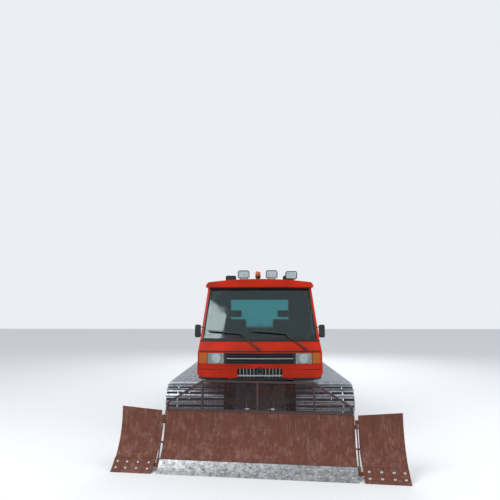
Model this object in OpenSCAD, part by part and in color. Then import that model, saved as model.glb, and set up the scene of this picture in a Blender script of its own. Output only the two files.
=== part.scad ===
// Tracked snow groomer with a front blade that lifts, turns, rolls and folds, and a rear snow tiller.
// The front faces -Y, +X is the machine's left side, and the ground is at z = 0.

/* [Tracks and wheels] */
// Overall width across both tracks
tracks_w = 3400; // [3100:10:3600]
// Width of one track
track_w = 1050; // [850:10:1100]
// Outer diameter of a road wheel's tyre
road_tyre_d = 560; // [480:5:580]
// Outer diameter of the front idler's tyre
idler_tyre_d = 540; // [480:5:580]
// Diameter of the drive sprocket where the belt runs on it
sprocket_d = 560; // [500:5:600]
// Distance between neighbouring road wheels
road_pitch = 590; // [585:1:620]
// Distance from mid-length to the idler and sprocket centres
end_wheel_y = 1784; // [1740:1:1860]
// Height of the bar tips on the upper run
track_top_z = 950; // [930:5:960]
// Thickness of a track belt
belt_t = 16; // [12:1:24]
// Height of a track bar above its belt
bar_h = 50; // [30:1:60]
// Distance between track bars
bar_pitch = 112; // [90:1:160]
// Tyre width
tyre_w = 165; // [120:5:200]

/* [Chassis] */
// Width of the chassis tub between the tracks
tub_w = 900; // [800:10:1000]
// Underside of the tub
tub_bottom_z = 420; // [380:5:460]
// Top of the tub, where the cross beams lie
tub_top_z = 1000; // [990:1:1010]
// Plate thickness of the tub
tub_t = 20; // [12:1:30]
// Height of the cross beams that carry cab and bed
cross_h = 80; // [60:1:90]

/* [Cab] */
// Width of the cab at the bumper
cab_w = 2140; // [2000:10:2200]
// Width of the cab at the windscreen base
waist_w = 2100; // [1980:10:2140]
// Width of the cab below the roof
cab_top_w = 1940; // [1780:10:1960]
// Front face of the lamp band, ahead of mid-length
nose_y = 2640; // [2600:5:2680]
// Bumper face ahead of the lamp band
bumper_ahead = 35; // [20:1:60]
// Windscreen base, ahead of mid-length
screen_foot_y = 2505; // [2450:5:2550]
// Windscreen top, ahead of mid-length
screen_head_y = 2050; // [1980:5:2100]
// Rear wall of the cab, ahead of mid-length
cab_rear_y = 950; // [900:5:1000]
// Radius of the bowed front in plan
bow_r = 6000; // [5000:100:9000]
// Height of the windscreen base
waist_z = 1735; // [1700:5:1780]
// Height below the roof
eaves_z = 2690; // [2600:5:2740]
// Rise of the roof's crown above its foot
roof_rise = 150; // [110:5:170]
// Thickness of the cab walls and doors
wall_t = 45; // [35:1:60]
// Gap round a door
door_gap = 8; // [6:1:12]

/* [Front blade] */
// Yaw of the blade as parked, with its left end forward
blade_yaw = 6; // [0:1:10]
// Half width of the middle mouldboard
blade_half = 1375; // [1300:1:1400]
// Gap between the mouldboard and a wing
wing_gap = 50; // [50:1:60]
// Half width over the wings at the cutting edge
wing_foot_x = 2040; // [1950:5:2250]
// Half width over the wings at the top
wing_head_x = 2035; // [1900:5:2200]
// Height of the middle mouldboard
blade_h = 775; // [700:5:800]
// Height of a wing's outer corner
wing_h = 825; // [775:5:850]
// Radius of the mouldboard's curve
mould_r = 900; // [850:5:1000]
// Plate thickness of the mouldboard
mould_t = 15; // [10:1:20]
// Swivel axis, ahead of mid-length
swivel_y = 3300; // [3280:5:3320]

/* [Rear tiller] */
// Tiller rotor axis, behind mid-length
rotor_y = 3380; // [3350:5:3450]
// Height of the rotor axis
rotor_z = 240; // [225:5:260]
// Half length of the rotor
rotor_half = 1860; // [1700:10:2000]
// Radius over the tines
tine_r = 200; // [150:5:220]
// Half width of the finisher mat
mat_half = 2050; // [1900:10:2200]

/* [Hidden] */
$fn = 48;

// Clearances
fit = 0.3;
pin_fit = 0.1;

// Colours
paint_red = [0.78, 0.17, 0.06];
dark_steel = [0.20, 0.20, 0.22];
black = [0.06, 0.06, 0.07];
bare_steel = [0.55, 0.56, 0.58];
rust = [0.45, 0.24, 0.19];
glass_teal = [0.20, 0.45, 0.48, 0.5];
amber = [0.85, 0.45, 0.05];
rubber = [0.09, 0.09, 0.09];

// Places of the wheels, in (y, z)
wheel_x = (tracks_w - track_w) / 2;
track_in_x = tracks_w / 2 - track_w;
road_z = bar_h + belt_t + road_tyre_d / 2;
idler_z = track_top_z - bar_h - belt_t - idler_tyre_d / 2;
sprocket_z = track_top_z - bar_h - belt_t - sprocket_d / 2;
road_ys = [for (i = [-2:2]) i * road_pitch];
tub_front_y = -2050;
tub_rear_y = 2250;

// Loop that the belt's inner face follows, as circles [y, z, radius], counter-clockwise
loop_wheels = [
    [road_ys[4], road_z, road_tyre_d / 2],
    [end_wheel_y, sprocket_z, sprocket_d / 2],
    [-end_wheel_y, idler_z, idler_tyre_d / 2],
    [road_ys[0], road_z, road_tyre_d / 2]
];
loop_n = len(loop_wheels);

function at(list, i) = list[(i + len(list)) % len(list)];
function centre(i) = [at(loop_wheels, i)[0], at(loop_wheels, i)[1]];
function radius(i) = at(loop_wheels, i)[2];
// Direction of the outward normal on the straight run from circle i to the next
function run_normal(i) =
    let (d = centre(i + 1) - centre(i))
    atan2(d[1], d[0]) - acos((radius(i) - radius(i + 1)) / norm(d));
function ray(a) = [cos(a), sin(a)];
function run_start(i, off) = centre(i) + (radius(i) + off) * ray(run_normal(i));
function run_end(i, off) = centre(i + 1) + (radius(i + 1) + off) * ray(run_normal(i));
function arc_angle(i) = (run_normal(i) - run_normal(i - 1 + loop_n) + 720) % 360;
function arc_len(i, off) = (radius(i) + off) * arc_angle(i) * PI / 180;
function run_len(i, off) = norm(run_end(i, off) - run_start(i, off));
function lap(off) = sum([for (i = [0:loop_n - 1]) arc_len(i, off) + run_len(i, off)]);
function sum(v, i = 0) = i < len(v) ? v[i] + sum(v, i + 1) : 0;
// Place along the loop as [point, outward normal angle], s from the start of arc i
function along(s, off, i = 0) =
    let (a = arc_len(i, off), r = run_len(i, off))
    s < a
        ? let (t = run_normal(i - 1 + loop_n) + s / a * arc_angle(i))
          [centre(i) + (radius(i) + off) * ray(t), t]
    : s < a + r
        ? [run_start(i, off) + (s - a) / r * (run_end(i, off) - run_start(i, off)), run_normal(i)]
    : i < loop_n - 1 ? along(s - a - r, off, i + 1) : along(0, off, 0);

bar_count = round(lap(belt_t) / bar_pitch);

module loop_area(off) {
    for (i = [0:loop_n - 1]) translate(centre(i)) circle(r = radius(i) + off, $fn = 96);
    polygon([for (i = [0:loop_n - 1]) each [run_start(i, off), run_end(i, off)]]);
}

// Turns a drawing in (y, z) into a solid between two values of x
module across(x0, x1) {
    translate([x0, 0, 0]) rotate([90, 0, 90]) linear_extrude(x1 - x0) children();
}

// Turns a drawing in (x, z) into a solid between two values of y
module along_y(y0, y1) {
    translate([0, y1, 0]) rotate([90, 0, 0]) linear_extrude(y1 - y0) children();
}

module block(x, y, z) {
    translate([x[0], y[0], z[0]]) cube([x[1] - x[0], y[1] - y[0], z[1] - z[0]]);
}

module both_sides() {
    children();
    mirror([1, 0, 0]) children();
}

module rod_x(x0, x1, y, z, r) {
    translate([x0, y, z]) rotate([0, 90, 0]) cylinder(r = r, h = x1 - x0);
}

// Running gear
module track_body() {
    flange = 34;
    tip = 5;
    across(track_in_x, tracks_w / 2) {
        difference() {
            union() {
                loop_area(belt_t);
                for (k = [0:bar_count - 1])
                    let (p = along(k * lap(belt_t) / bar_count, belt_t))
                    translate(p[0]) rotate(p[1] - 90)
                        polygon([[-flange, -6], [flange, -6], [flange, 5], [10, 9], [tip, bar_h],
                                 [-tip, bar_h], [-10, 9], [-flange, 5]]);
            }
            loop_area(fit);
        }
    }
}
module track_left() color(dark_steel) track_body();
module track_right() color(dark_steel) mirror([1, 0, 0]) track_body();

// Every tyred wheel on one side as [y, z, outer radius]
tyred = concat([for (y = road_ys) [y, road_z, road_tyre_d / 2]],
               [[-end_wheel_y, idler_z, idler_tyre_d / 2]]);
rim_r = 180;
module tyre(r) {
    rotate([0, 90, 0]) rotate_extrude($fn = 48)
        polygon([[rim_r, -tyre_w / 2 + 12], [r - 70, -tyre_w / 2], [r - 18, -tyre_w / 2 + 14],
                 [r, -tyre_w / 2 + 40], [r, tyre_w / 2 - 40], [r - 18, tyre_w / 2 - 14],
                 [r - 70, tyre_w / 2], [rim_r, tyre_w / 2 - 12]]);
}
module tyres() color(rubber) both_sides()
    for (w = tyred) translate([wheel_x, w[0], w[1]]) tyre(w[2]);

axle_r = 35;
hub_r = 60;
module rim() {
    half = tyre_w / 2 - 12;
    rotate([0, 90, 0]) rotate_extrude($fn = 48)
        polygon([[axle_r + pin_fit, -half], [hub_r, -half], [hub_r, -8], [rim_r - 24, -8],
                 [rim_r - 24, -half], [rim_r - fit, -half], [rim_r - fit, half],
                 [rim_r - 24, half], [rim_r - 24, 8], [hub_r, 8], [hub_r, half], [axle_r + pin_fit, half]]);
}
module rims() color(bare_steel) both_sides()
    for (w = tyred) translate([wheel_x, w[0], w[1]]) rim();

drive_shaft_r = 70;
module sprockets() color(bare_steel) both_sides()
    for (dx = [-110, 110])
        across(wheel_x + dx - 20, wheel_x + dx + 20)
            translate([end_wheel_y, sprocket_z]) difference() {
                circle(r = sprocket_d / 2, $fn = 96);
                circle(r = drive_shaft_r + pin_fit);
                for (a = [0:45:315]) rotate(a) translate([165, 0]) circle(r = 42);
            }

arm_x = [575, 620];
pivot_back = 200;
pivot_z = 520;
module wheel_arms() color(dark_steel) both_sides() {
    for (y = road_ys) {
        rod_x(tub_w / 2, arm_x[0] + 5, y + pivot_back, pivot_z, 55);
        rod_x(arm_x[0] + 5, wheel_x + tyre_w / 2, y, road_z, axle_r);
        across(arm_x[0], arm_x[1]) {
            translate([y + pivot_back, pivot_z]) circle(r = 62);
            translate([y, road_z]) circle(r = 55);
            let (d = [pivot_back, pivot_z - road_z], n = [-d[1], d[0]] / norm(d))
            translate([y, road_z]) polygon([46 * n, d + 52 * n, d - 52 * n, -46 * n]);
        }
    }
    rod_x(tub_w / 2, wheel_x + tyre_w / 2, -end_wheel_y, idler_z, axle_r);
    rod_x(tub_w / 2, 560, -end_wheel_y, idler_z, 75);
    rod_x(tub_w / 2, 625, end_wheel_y, sprocket_z, 150);
    rod_x(620, wheel_x + 150, end_wheel_y, sprocket_z, drive_shaft_r);
}

// Chassis, with the lugs that carry blade and tiller
lift_pivot = [-2130, 500];
rear_pivot = [2330, 520];
lift_top = [-2140, 900];
rear_top = [2340, 930];
lug_t = 22;
pivot_r = 40;
cross_ys = [-1990, -1100, -760, 560, 900, 2150];
lift_x = 210;
frame_x = 360;

// Two ears on each side of x, as a drawing in (y, z) from a plate at y0 to a round end at p
module ears(x, half_gap, y0, p, r) {
    for (s = [-1, 1])
        across(x + s * (half_gap + lug_t / 2) - lug_t / 2, x + s * (half_gap + lug_t / 2) + lug_t / 2) {
            translate(p) circle(r = r);
            polygon([[y0, p[1] - r], [p[0], p[1] - r], [p[0], p[1] + r], [y0, p[1] + r]]);
        }
}

module chassis_frame() color(dark_steel) {
    difference() {
        block([-tub_w / 2, tub_w / 2], [tub_front_y, tub_rear_y], [tub_bottom_z, tub_top_z]);
        block([-tub_w / 2 + tub_t, tub_w / 2 - tub_t], [tub_front_y + tub_t, tub_rear_y - tub_t],
              [tub_bottom_z + tub_t, tub_top_z + 1]);
    }
    for (y = cross_ys)
        block([-cab_w / 2 + 90, cab_w / 2 - 90], [y - 50, y + 50], [tub_top_z, tub_top_z + cross_h]);
    both_sides() {
        difference() {
            union() {
                ears(frame_x, 45, tub_front_y + 1, lift_pivot, 62);
                ears(frame_x, 45, tub_rear_y - 1, rear_pivot, 62);
            }
            rod_x(frame_x - 100, frame_x + 100, lift_pivot[0], lift_pivot[1], pivot_r);
            rod_x(frame_x - 100, frame_x + 100, rear_pivot[0], rear_pivot[1], pivot_r);
        }
        ears(lift_x, 33, tub_front_y + 1, lift_top, 45);
        rod_x(lift_x - 33 - lug_t, lift_x + 33 + lug_t, lift_top[0], lift_top[1], 20);
        ears(lift_x, 33, tub_rear_y - 1, rear_top, 45);
        rod_x(lift_x - 33 - lug_t, lift_x + 33 + lug_t, rear_top[0], rear_top[1], 20);
    }
    // Drawbar plate with its pin hole
    difference() {
        block([-70, 70], [tub_rear_y - 1, tub_rear_y + 150], [640, 670]);
        translate([0, tub_rear_y + 100, 600]) cylinder(r = 21, h = 100);
    }
}

// Cab solids. The front is a surface of revolution about a far upright axis, so it bows in plan
floor_z = tub_top_z + cross_h;
floor_t = 50;
band_z = 1545;
bumper_z = [1130, 1322];
nose_foot_z = bumper_z[1] + fit;
split_z = waist_z + 6;
roof_z = eaves_z + roof_rise;
bow_y = -nose_y + bow_r;
slope_k = 1.1;

module revolved() {
    half = 20;
    translate([0, bow_y, 0]) rotate([0, 0, -90 - half]) rotate_extrude(angle = 2 * half, $fn = 720) children();
}

function rz(y, z) = [bow_y - y, z];

// inset moves the front back, and side_inset moves the flanks in
module front_solid(inset, z0, z1, side_inset = undef) {
    i = inset * slope_k;
    side = is_undef(side_inset) ? inset : side_inset;
    back = 1400;
    intersection() {
        revolved() polygon([
            rz(-nose_y + i, 1000), rz(-nose_y + i, band_z), rz(-screen_foot_y + i, waist_z),
            rz(-screen_head_y + i, eaves_z), rz(-screen_head_y + i, 2900),
            [bow_r - back - 700, 2900], [bow_r - back - 700, 1000]
        ]);
        along_y(-nose_y - 100, -cab_rear_y - side) intersection() {
            side_outline(side);
            translate([-2000, z0]) square([4000, z1 - z0]);
        }
    }
}

module side_outline(inset) {
    a = cab_w / 2 - inset;
    b = waist_w / 2 - inset;
    c = cab_top_w / 2 - inset;
    polygon([[-a, 1000], [a, 1000], [a, band_z - 10], [b, waist_z - 8], [c, eaves_z], [c, 2900],
             [-c, 2900], [-c, eaves_z], [-b, waist_z - 8], [-a, band_z - 10]]);
}

module cab_shell(z0, z1) {
    difference() {
        front_solid(0, z0, z1);
        front_solid(wall_t, z0 - 10, z1 + 10);
    }
}

// Door outline in (y, z), grown by g
door_front = -2310;
door_rear = -1290;
door_foot = floor_z + floor_t + 30;
door_head = eaves_z - 60;
module door_outline(g) {
    polygon([[door_front - g, door_foot - g], [door_rear + g, door_foot - g],
             [door_rear + g, door_head + g], [door_front + 420 - g, door_head + g],
             [door_front - g, waist_z + 10]]);
}
rear_extra_gap = 6;
door_axis = [cab_w / 2 + 12, door_front - door_gap / 2];
door_hinge_zs = [1230, 1450];
module door_hole() {
    door_outline(door_gap);
    translate([rear_extra_gap, 0]) door_outline(door_gap);
}

// Windscreen outline in (x, z), grown by g
module screen_outline(g) {
    polygon([[-screen_foot_x - g, screen_foot_z - g], [screen_foot_x + g, screen_foot_z - g],
             [screen_head_x + g, screen_head_z + g], [-screen_head_x - g, screen_head_z + g]]);
}
screen_foot_x = waist_w / 2 - 62;
screen_head_x = cab_top_w / 2 - 57;
screen_foot_z = waist_z + 35;
screen_head_z = eaves_z - 38;
seal_w = 22;

// Rear window outline in (x, z) and quarter window outline in (y, z)
module rear_window(g) {
    translate([-600 - g, 1850 - g]) square([1200 + 2 * g, 640 + 2 * g]);
}
module quarter_window(g) {
    translate([-1215 - g, 1850 - g]) square([180 + 2 * g, 640 + 2 * g]);
}

module cab_frame() color(paint_red) {
    cab_walls();
    // Body halves of the door hinges, with their pins
    both_sides() for (z = door_hinge_zs) {
        for (dz = [-35, 73]) {
            block([cab_w / 2 - 1, cab_w / 2 + 8], [door_axis[1] - 55, door_axis[1]], [z + dz, z + dz + 32]);
            translate([door_axis[0], door_axis[1], z + dz]) cylinder(r = 12, h = 32);
        }
        translate([door_axis[0], door_axis[1], z - 35]) cylinder(r = 6, h = 140);
    }
    // Grab rail behind each door
    both_sides() {
        translate([rail_at[0], rail_at[1], rail_zs[0] - 30]) cylinder(r = 12, h = rail_zs[1] - rail_zs[0] + 60);
        for (z = rail_zs) rod_x(1015, rail_at[0], rail_at[1], z, 9);
    }
}
rail_at = [1108, -1257];
rail_zs = [1420, 1980];
module cab_walls() difference() {
    union() {
        cab_shell(split_z, eaves_z);
        intersection() {
            cab_shell(floor_z + floor_t, split_z + 40);
            block([-2000, 2000], [door_front - 60, -900], [1000, 2000]);
        }
    }
    along_y(-2700, -1700) screen_outline(seal_w);
    across(-1200, 1200) door_hole();
    along_y(-1100, -800) rear_window(seal_w);
    across(-1200, 1200) quarter_window(seal_w);
}

module screen_band(d0, d1) {
    intersection() {
        difference() {
            front_solid(d0, 1600, 2800);
            front_solid(d1, 1500, 2900);
        }
        block([-1200, 1200], [-2700, -1700], [1500, 2800]);
    }
}

module windscreen() color(glass_teal) intersection() {
    screen_band(12, 20);
    along_y(-2700, -1700) screen_outline(-fit);
}

module cab_glass() color(glass_teal) {
    along_y(-cab_rear_y - 30, -cab_rear_y - 22) rear_window(-fit);
    both_sides() intersection() {
        difference() {
            front_solid(14, 1700, 2700);
            front_solid(20, 1600, 2800);
        }
        across(700, waist_w / 2 + 50) quarter_window(-fit);
    }
}

// Strips across the front, one in a groove above the lamps and one under the windscreen
groove_z = [band_z + 4, band_z + 26];
groove_x = cab_w / 2 - 30;
groove_d = 10;
module front_strip(d0, d1, z, g) {
    intersection() {
        difference() {
            front_solid(d0, z[0] + g, z[1] - g, 0);
            front_solid(d1, z[0] - 10, z[1] + 10, -20);
        }
        block([-groove_x + g, groove_x - g], [-2800, -2300], [1500, 1800]);
    }
}

module window_seals() color(black) {
    front_strip(-3, groove_d - fit, groove_z, fit);
    front_strip(-7, -fit, [waist_z - 17, waist_z + 11], 0);
    intersection() {
        screen_band(-3, wall_t - 15);
        along_y(-2700, -1700) difference() {
            screen_outline(seal_w - fit);
            screen_outline(0);
        }
    }
    along_y(-cab_rear_y - wall_t, -cab_rear_y + 3) difference() {
        rear_window(seal_w - fit);
        rear_window(0);
    }
    both_sides() intersection() {
        difference() {
            front_solid(-3, 1700, 2700);
            front_solid(wall_t, 1600, 2800);
        }
        across(700, 1100) difference() {
            quarter_window(seal_w - fit);
            quarter_window(0);
        }
    }
}

// Lamp band: [x from, x to] of each cut-out on the +X side
grille_x = 577;
headlamp_x = [608, 893];
indicator_x = [900, 1046];
lamp_z = [1350, 1532];

module nose_panel() color(paint_red) difference() {
    intersection() {
        cab_shell(nose_foot_z, split_z - fit);
        block([-2000, 2000], [-2800, door_front - 60 - fit], [1000, 2000]);
    }
    block([-indicator_x[1] - fit, indicator_x[1] + fit], [-2800, -2480], [lamp_z[0] - fit, lamp_z[1] + fit]);
    front_strip(-20, groove_d, groove_z, 0);
}

module lamp_front(d0, d1, x0, x1, z0, z1) {
    intersection() {
        difference() {
            front_solid(d0, 1000, 1800, 0);
            front_solid(d1, 900, 1900, -20);
        }
        block([x0, x1], [-2800, -2300], [z0, z1]);
    }
}

module grille() color(black) {
    h = lamp_z[1] - lamp_z[0];
    slats = 5;
    lamp_front(wall_t - 12, wall_t, -headlamp_x[0] + fit, headlamp_x[0] - fit, lamp_z[0], lamp_z[1]);
    for (i = [0:slats])
        lamp_front(2, wall_t - 8, -grille_x, grille_x,
                   lamp_z[0] + i * (h - 12) / slats, lamp_z[0] + i * (h - 12) / slats + 12);
    both_sides() lamp_front(2, wall_t - 8, grille_x - 12, headlamp_x[0] - fit, lamp_z[0], lamp_z[1]);
}
module headlamps() color([0.85, 0.9, 0.9]) both_sides()
    lamp_front(4, wall_t, headlamp_x[0], headlamp_x[1], lamp_z[0], lamp_z[1]);
module indicators() color(amber) both_sides()
    lamp_front(3, wall_t, indicator_x[0], indicator_x[1], lamp_z[0], lamp_z[1]);

intake_x = 380;
intake_top = 1282;
ledge_t = 12;
module bumper_band(d0, d1, z0, z1, side0, side1) {
    intersection() {
        difference() {
            front_solid(d0, z0, z1, side0);
            front_solid(d1, z0 - 20, z1 + 20, side1);
        }
        block([-cab_w / 2 - 130, cab_w / 2 + 130], [-2800, door_front - 60 - fit], [1000, 1400]);
    }
}
// Outline of the bumper in (x, z), with its lower corners rounded off
// Bumper past the cab on each side
bumper_over = 20;
module bumper_outline() {
    z = bumper_z[0];
    x = cab_w / 2 + bumper_over;
    polygon([[-x, z + 400], [-x, z + 110], [28 - x, z + 52], [60 - x, z + 18], [110 - x, z - 4],
             [x - 110, z - 4], [x - 60, z + 18], [x - 28, z + 52], [x, z + 110], [x, z + 400]]);
}
// Opening in the bumper, with a round socket in its middle
module intake_outline() {
    polygon([[-intake_x, 1000], [intake_x, 1000], [intake_x, intake_top - 28], [intake_x - 9, intake_top - 9],
             [intake_x - 28, intake_top], [28 - intake_x, intake_top], [9 - intake_x, intake_top - 9],
             [-intake_x, intake_top - 28]]);
    translate([0, socket_z]) circle(r = 74);
}
socket_z = 1230;
crease_z = 1263;
module bumper() color(paint_red) {
    difference() {
        intersection() {
            union() {
                bumper_band(-bumper_ahead, 15, bumper_z[0], bumper_z[1], 0, 40);
                bumper_band(-bumper_ahead, 80, bumper_z[1] - ledge_t, bumper_z[1], 0, 80);
            }
            along_y(-2800, -2200) bumper_outline();
        }
        along_y(-2800, -2300) intake_outline();
        // Crease on each side of the opening
        both_sides() intersection() {
            bumper_band(-bumper_ahead - 20, -bumper_ahead + 5, crease_z - 4, crease_z + 4, -20, 300);
            block([intake_x + 60, cab_w / 2 - 30], [-2800, -2300], [1000, 1400]);
        }
    }
    // Brackets back to the floor
    for (s = [-1, 1])
        block([s * 500 - 30, s * 500 + 30], [-2640, -2575 - fit], [floor_z + 22, bumper_z[0] + 30]);
}

// Uprights and carrier of the bumper's opening, and the bright line across the grille
intake_bar_xs = [100, 160, 220, 275, 335];
module intake_bars() color(bare_steel) {
    both_sides() for (x = intake_bar_xs) intersection() {
        bumper_band(-12, 14, bumper_z[0] + 8, intake_top - 4, 0, 300);
        block([x - 4, x + 4], [-2800, -2300], [1000, 1400]);
    }
    intersection() {
        bumper_band(6, 20, bumper_z[0] + 20, bumper_z[0] + 42, 0, 300);
        block([fit - intake_x, intake_x - fit], [-2800, -2300], [1000, 1400]);
    }
    lamp_front(-1, 12, 12 - grille_x + fit, grille_x - 12 - fit, 1436, 1446);
}

module cab_floor() color(dark_steel) {
    intersection() {
        front_solid(60, floor_z, floor_z + floor_t, wall_t + 5);
        block([-2000, 2000], [-2575, -900], [1000, 1200]);
    }
    intersection() {
        front_solid(60, floor_z, floor_z + floor_t, 0);
        block([-2000, 2000], [door_front - 60, -900], [1000, 1200]);
    }
    // Bulkhead behind the bumper
    intersection() {
        difference() {
            front_solid(62, floor_z + 10, bumper_z[1] - 17, 55);
            front_solid(74, floor_z - 10, 1400, -20);
        }
        block([-1000, 1000], [-2800, -2300], [1000, 1400]);
    }
}

module roof() color(paint_red) {
    half = 1010;
    edge_z = eaves_z;
    rear = [-1975, -cab_rear_y - 40];
    difference() {
        intersection() {
            along_y(-2600, -cab_rear_y + 20) intersection() {
                translate([0, roof_z - crown_r]) circle(r = crown_r, $fn = 720);
                polygon([for (s = [-1, 1]) each s < 0
                    ? [[155 - half, roof_z], [80 - half, edge_z + 112], [34 - half, edge_z + 84],
                       [8 - half, edge_z + 52], [-half, edge_z + 22], [-half, edge_z]]
                    : [[half, edge_z], [half, edge_z + 22], [half - 8, edge_z + 52], [half - 34, edge_z + 84],
                       [half - 80, edge_z + 112], [half - 155, roof_z]]]);
            }
            translate([0, bow_y, edge_z - 90])
                cylinder(r = bow_r - nose_y + screen_head_y + 60, h = 300, $fn = 720);
        }
        along_y(rear[0], rear[1]) polygon([[-half + 130, edge_z - 1], [half - 130, edge_z - 1],
                                           [half - 190, roof_z - 70], [-half + 190, roof_z - 70]]);
        // Gutter line round the roof's foot
        both_sides() block([half - 6, half + 10], [-2600, -900], [edge_z + 12, edge_z + 17]);
    }
    // Raised hatch
    block([-260, 260], [-1480, -1180], [roof_z - 20, roof_z + 16]);
}

module dash() color(black) {
    intersection() {
        front_solid(wall_t + 5, 1400, 1720);
        across(-930, 930) polygon([[-2600, 1500], [-2250, 1500], [-2180, 1690], [-2240, 1715], [-2600, 1715]]);
    }
    // Instrument hood and a display beside it
    across(270, 590) polygon([[-2390, 1714], [-2250, 1714], [-2225, 1738], [-2290, 1790], [-2370, 1765]]);
    across(40, 200) polygon([[-2330, 1714], [-2300, 1714], [-2270, 1838], [-2290, 1844]]);
    // Console between the seats with its stick
    across(-95, 95) polygon([[-1960, floor_z + floor_t], [-1480, floor_z + floor_t], [-1480, 1560], [-1820, 1580],
                             [-1960, 1500]]);
    translate([20, -1780, 1570]) cylinder(r = 9, h = 110);
    translate([20, -1780, 1668]) cylinder(r = 24, h = 62);
    // Pedestal down to the floor and the steering column with its wheel
    block([-180, 180], [-2420, -2280], [floor_z + floor_t, 1501]);
    translate([430, -2215, 1600]) rotate([55, 0, 0]) {
        cylinder(r = 22, h = 200);
        translate([0, 0, 190]) rotate_extrude($fn = 48) translate([175, 0]) circle(r = 14, $fn = 24);
        translate([0, 0, 180]) cylinder(r = 45, h = 20);
        for (a = [0, 120, 240]) rotate(a) translate([0, -12, 184]) cube([170, 24, 8]);
    }
}

module seats() color([0.16, 0.17, 0.19]) for (x = [-480, 480]) {
    translate([x, 0, 0]) {
        block([-160, 160], [-1760, -1440], [floor_z + floor_t, 1330]);
        across(-200, 200) polygon([[-1860, 1325], [-1380, 1325], [-1380, 1422], [-1860, 1422]]);
        // Cushion and back, each with a raised bolster on both sides
        across(-190, 190) polygon([[-1900, 1420], [-1380, 1420], [-1230, 2080], [-1310, 2098],
                                   [-1440, 1545], [-1870, 1532], [-1905, 1500]]);
        for (s = [-1, 1]) across(s * 215 - 35, s * 215 + 35)
            polygon([[-1890, 1418], [-1378, 1418], [-1245, 2000], [-1330, 2040], [-1460, 1575],
                     [-1860, 1562], [-1895, 1510]]);
        // Headrest on its two posts
        across(-130, 130) polygon([[-1310, 2120], [-1225, 2112], [-1200, 2270], [-1225, 2292], [-1290, 2280]]);
        for (s = [-60, 60]) across(s - 7, s + 7)
            polygon([[-1272, 2060], [-1256, 2060], [-1240, 2140], [-1256, 2140]]);
    }
}

module wipers() color(black) {
    // Each wiper as x of its spindle and of the arm's tip
    for (w = [[-20, -360], [790, 430]]) wiper(w[0], w[1]);
}
wiper_foot_z = 1602;
wiper_tip_z = 1862;
module wiper(x0, x1) {
    arm_w = 12;
    intersection() {
        difference() {
            front_solid(-26, 1560, 2100);
            front_solid(-14, 1500, 2200);
        }
        along_y(-2800, -2200) {
            d = [x1 - x0, wiper_tip_z - wiper_foot_z];
            n = [-d[1], d[0]] / norm(d) * arm_w;
            p = [x0, wiper_foot_z];
            q = [x1, wiper_tip_z];
            polygon([p + n, q + n / 2, q - n / 2, p - n]);
            translate([x1 - 560, wiper_tip_z]) polygon([[0, 36], [610, -16], [610, -2], [0, 50]]);
        }
    }
    translate([x0, 0, 0]) intersection() {
        translate([0, -2300, wiper_foot_z]) rotate([90, 0, 0]) cylinder(r = 20, h = 400);
        translate([-x0, 0, 0]) difference() {
            front_solid(-28, 1560, 2100);
            front_solid(-fit, 1500, 2200);
        }
    }
}

// Roof work lamps: x of each centre facing ahead, and of each facing astern
lamp_xs = [-300, 230, 600];
rear_lamp_xs = [-600, 600];
lamp_y = -1955;
rear_lamp_y = -1060;
lamp_size = [220, 90, 150];
lamp_lift = 24;
crown_r = 8500;
function roof_top(x) = roof_z - crown_r + sqrt(crown_r * crown_r - x * x);
lamp_foot_r = 16;
module lamp_outline(g) {
    w = lamp_size[0] / 2 - g;
    h = lamp_size[2] - g;
    c = 24 - g / 2;
    polygon([[-w + c, g], [w - c, g], [w, g + c], [w, h - c], [w - c, h], [-w + c, h], [-w, h - c], [-w, g + c]]);
}
module lamp_case() {
    difference() {
        union() {
            along_y(-45, 12) lamp_outline(0);
            along_y(10, 45) lamp_outline(22);
        }
        along_y(-60, -31) lamp_outline(10);
    }
    for (s = [-1, 1]) along_y(-20, 20) translate([s * 60 - 6, -lamp_lift + 8]) square([12, lamp_lift]);
    translate([0, 0, -lamp_lift]) cylinder(r = lamp_foot_r, h = 14);
    block([-66, 66], [-20, 20], [8 - lamp_lift, 14 - lamp_lift]);
}
module lamp_on_roof(x, y, turn)
    translate([x, y, roof_top(abs(x) - lamp_foot_r) + fit + lamp_lift]) rotate(turn) lamp_case();
module roof_lamps() color(black) {
    for (x = lamp_xs) lamp_on_roof(x, lamp_y, 0);
    for (x = rear_lamp_xs) lamp_on_roof(x, rear_lamp_y, 180);
}

beacon_stem = 50;
module beacon() color(amber) translate([-30, -1820, roof_z + fit]) {
    cylinder(r = 66, h = 20);
    cylinder(r = 40, h = beacon_stem + 20);
    translate([0, 0, beacon_stem]) cylinder(r = 52, h = 100);
    translate([0, 0, beacon_stem + 99]) cylinder(r1 = 51, r2 = 30, h = 22);
}

mirror_at = [waist_w / 2 + 50, -2300, 1890];
module mirrors() color(black) both_sides() {
    translate(mirror_at) along_y(-25, 4)
        polygon([[-30, -110], [40, -110], [58, -90], [58, 95], [40, 115], [-30, 115], [-46, 98], [-46, -92]]);
    difference() {
        for (z = [-70, 70]) rod_x(mirror_at[0] - 100, mirror_at[0] - 20, mirror_at[1] - 12, mirror_at[2] + z, 9);
        front_solid(-fit, 1500, 2500);
    }
}

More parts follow.
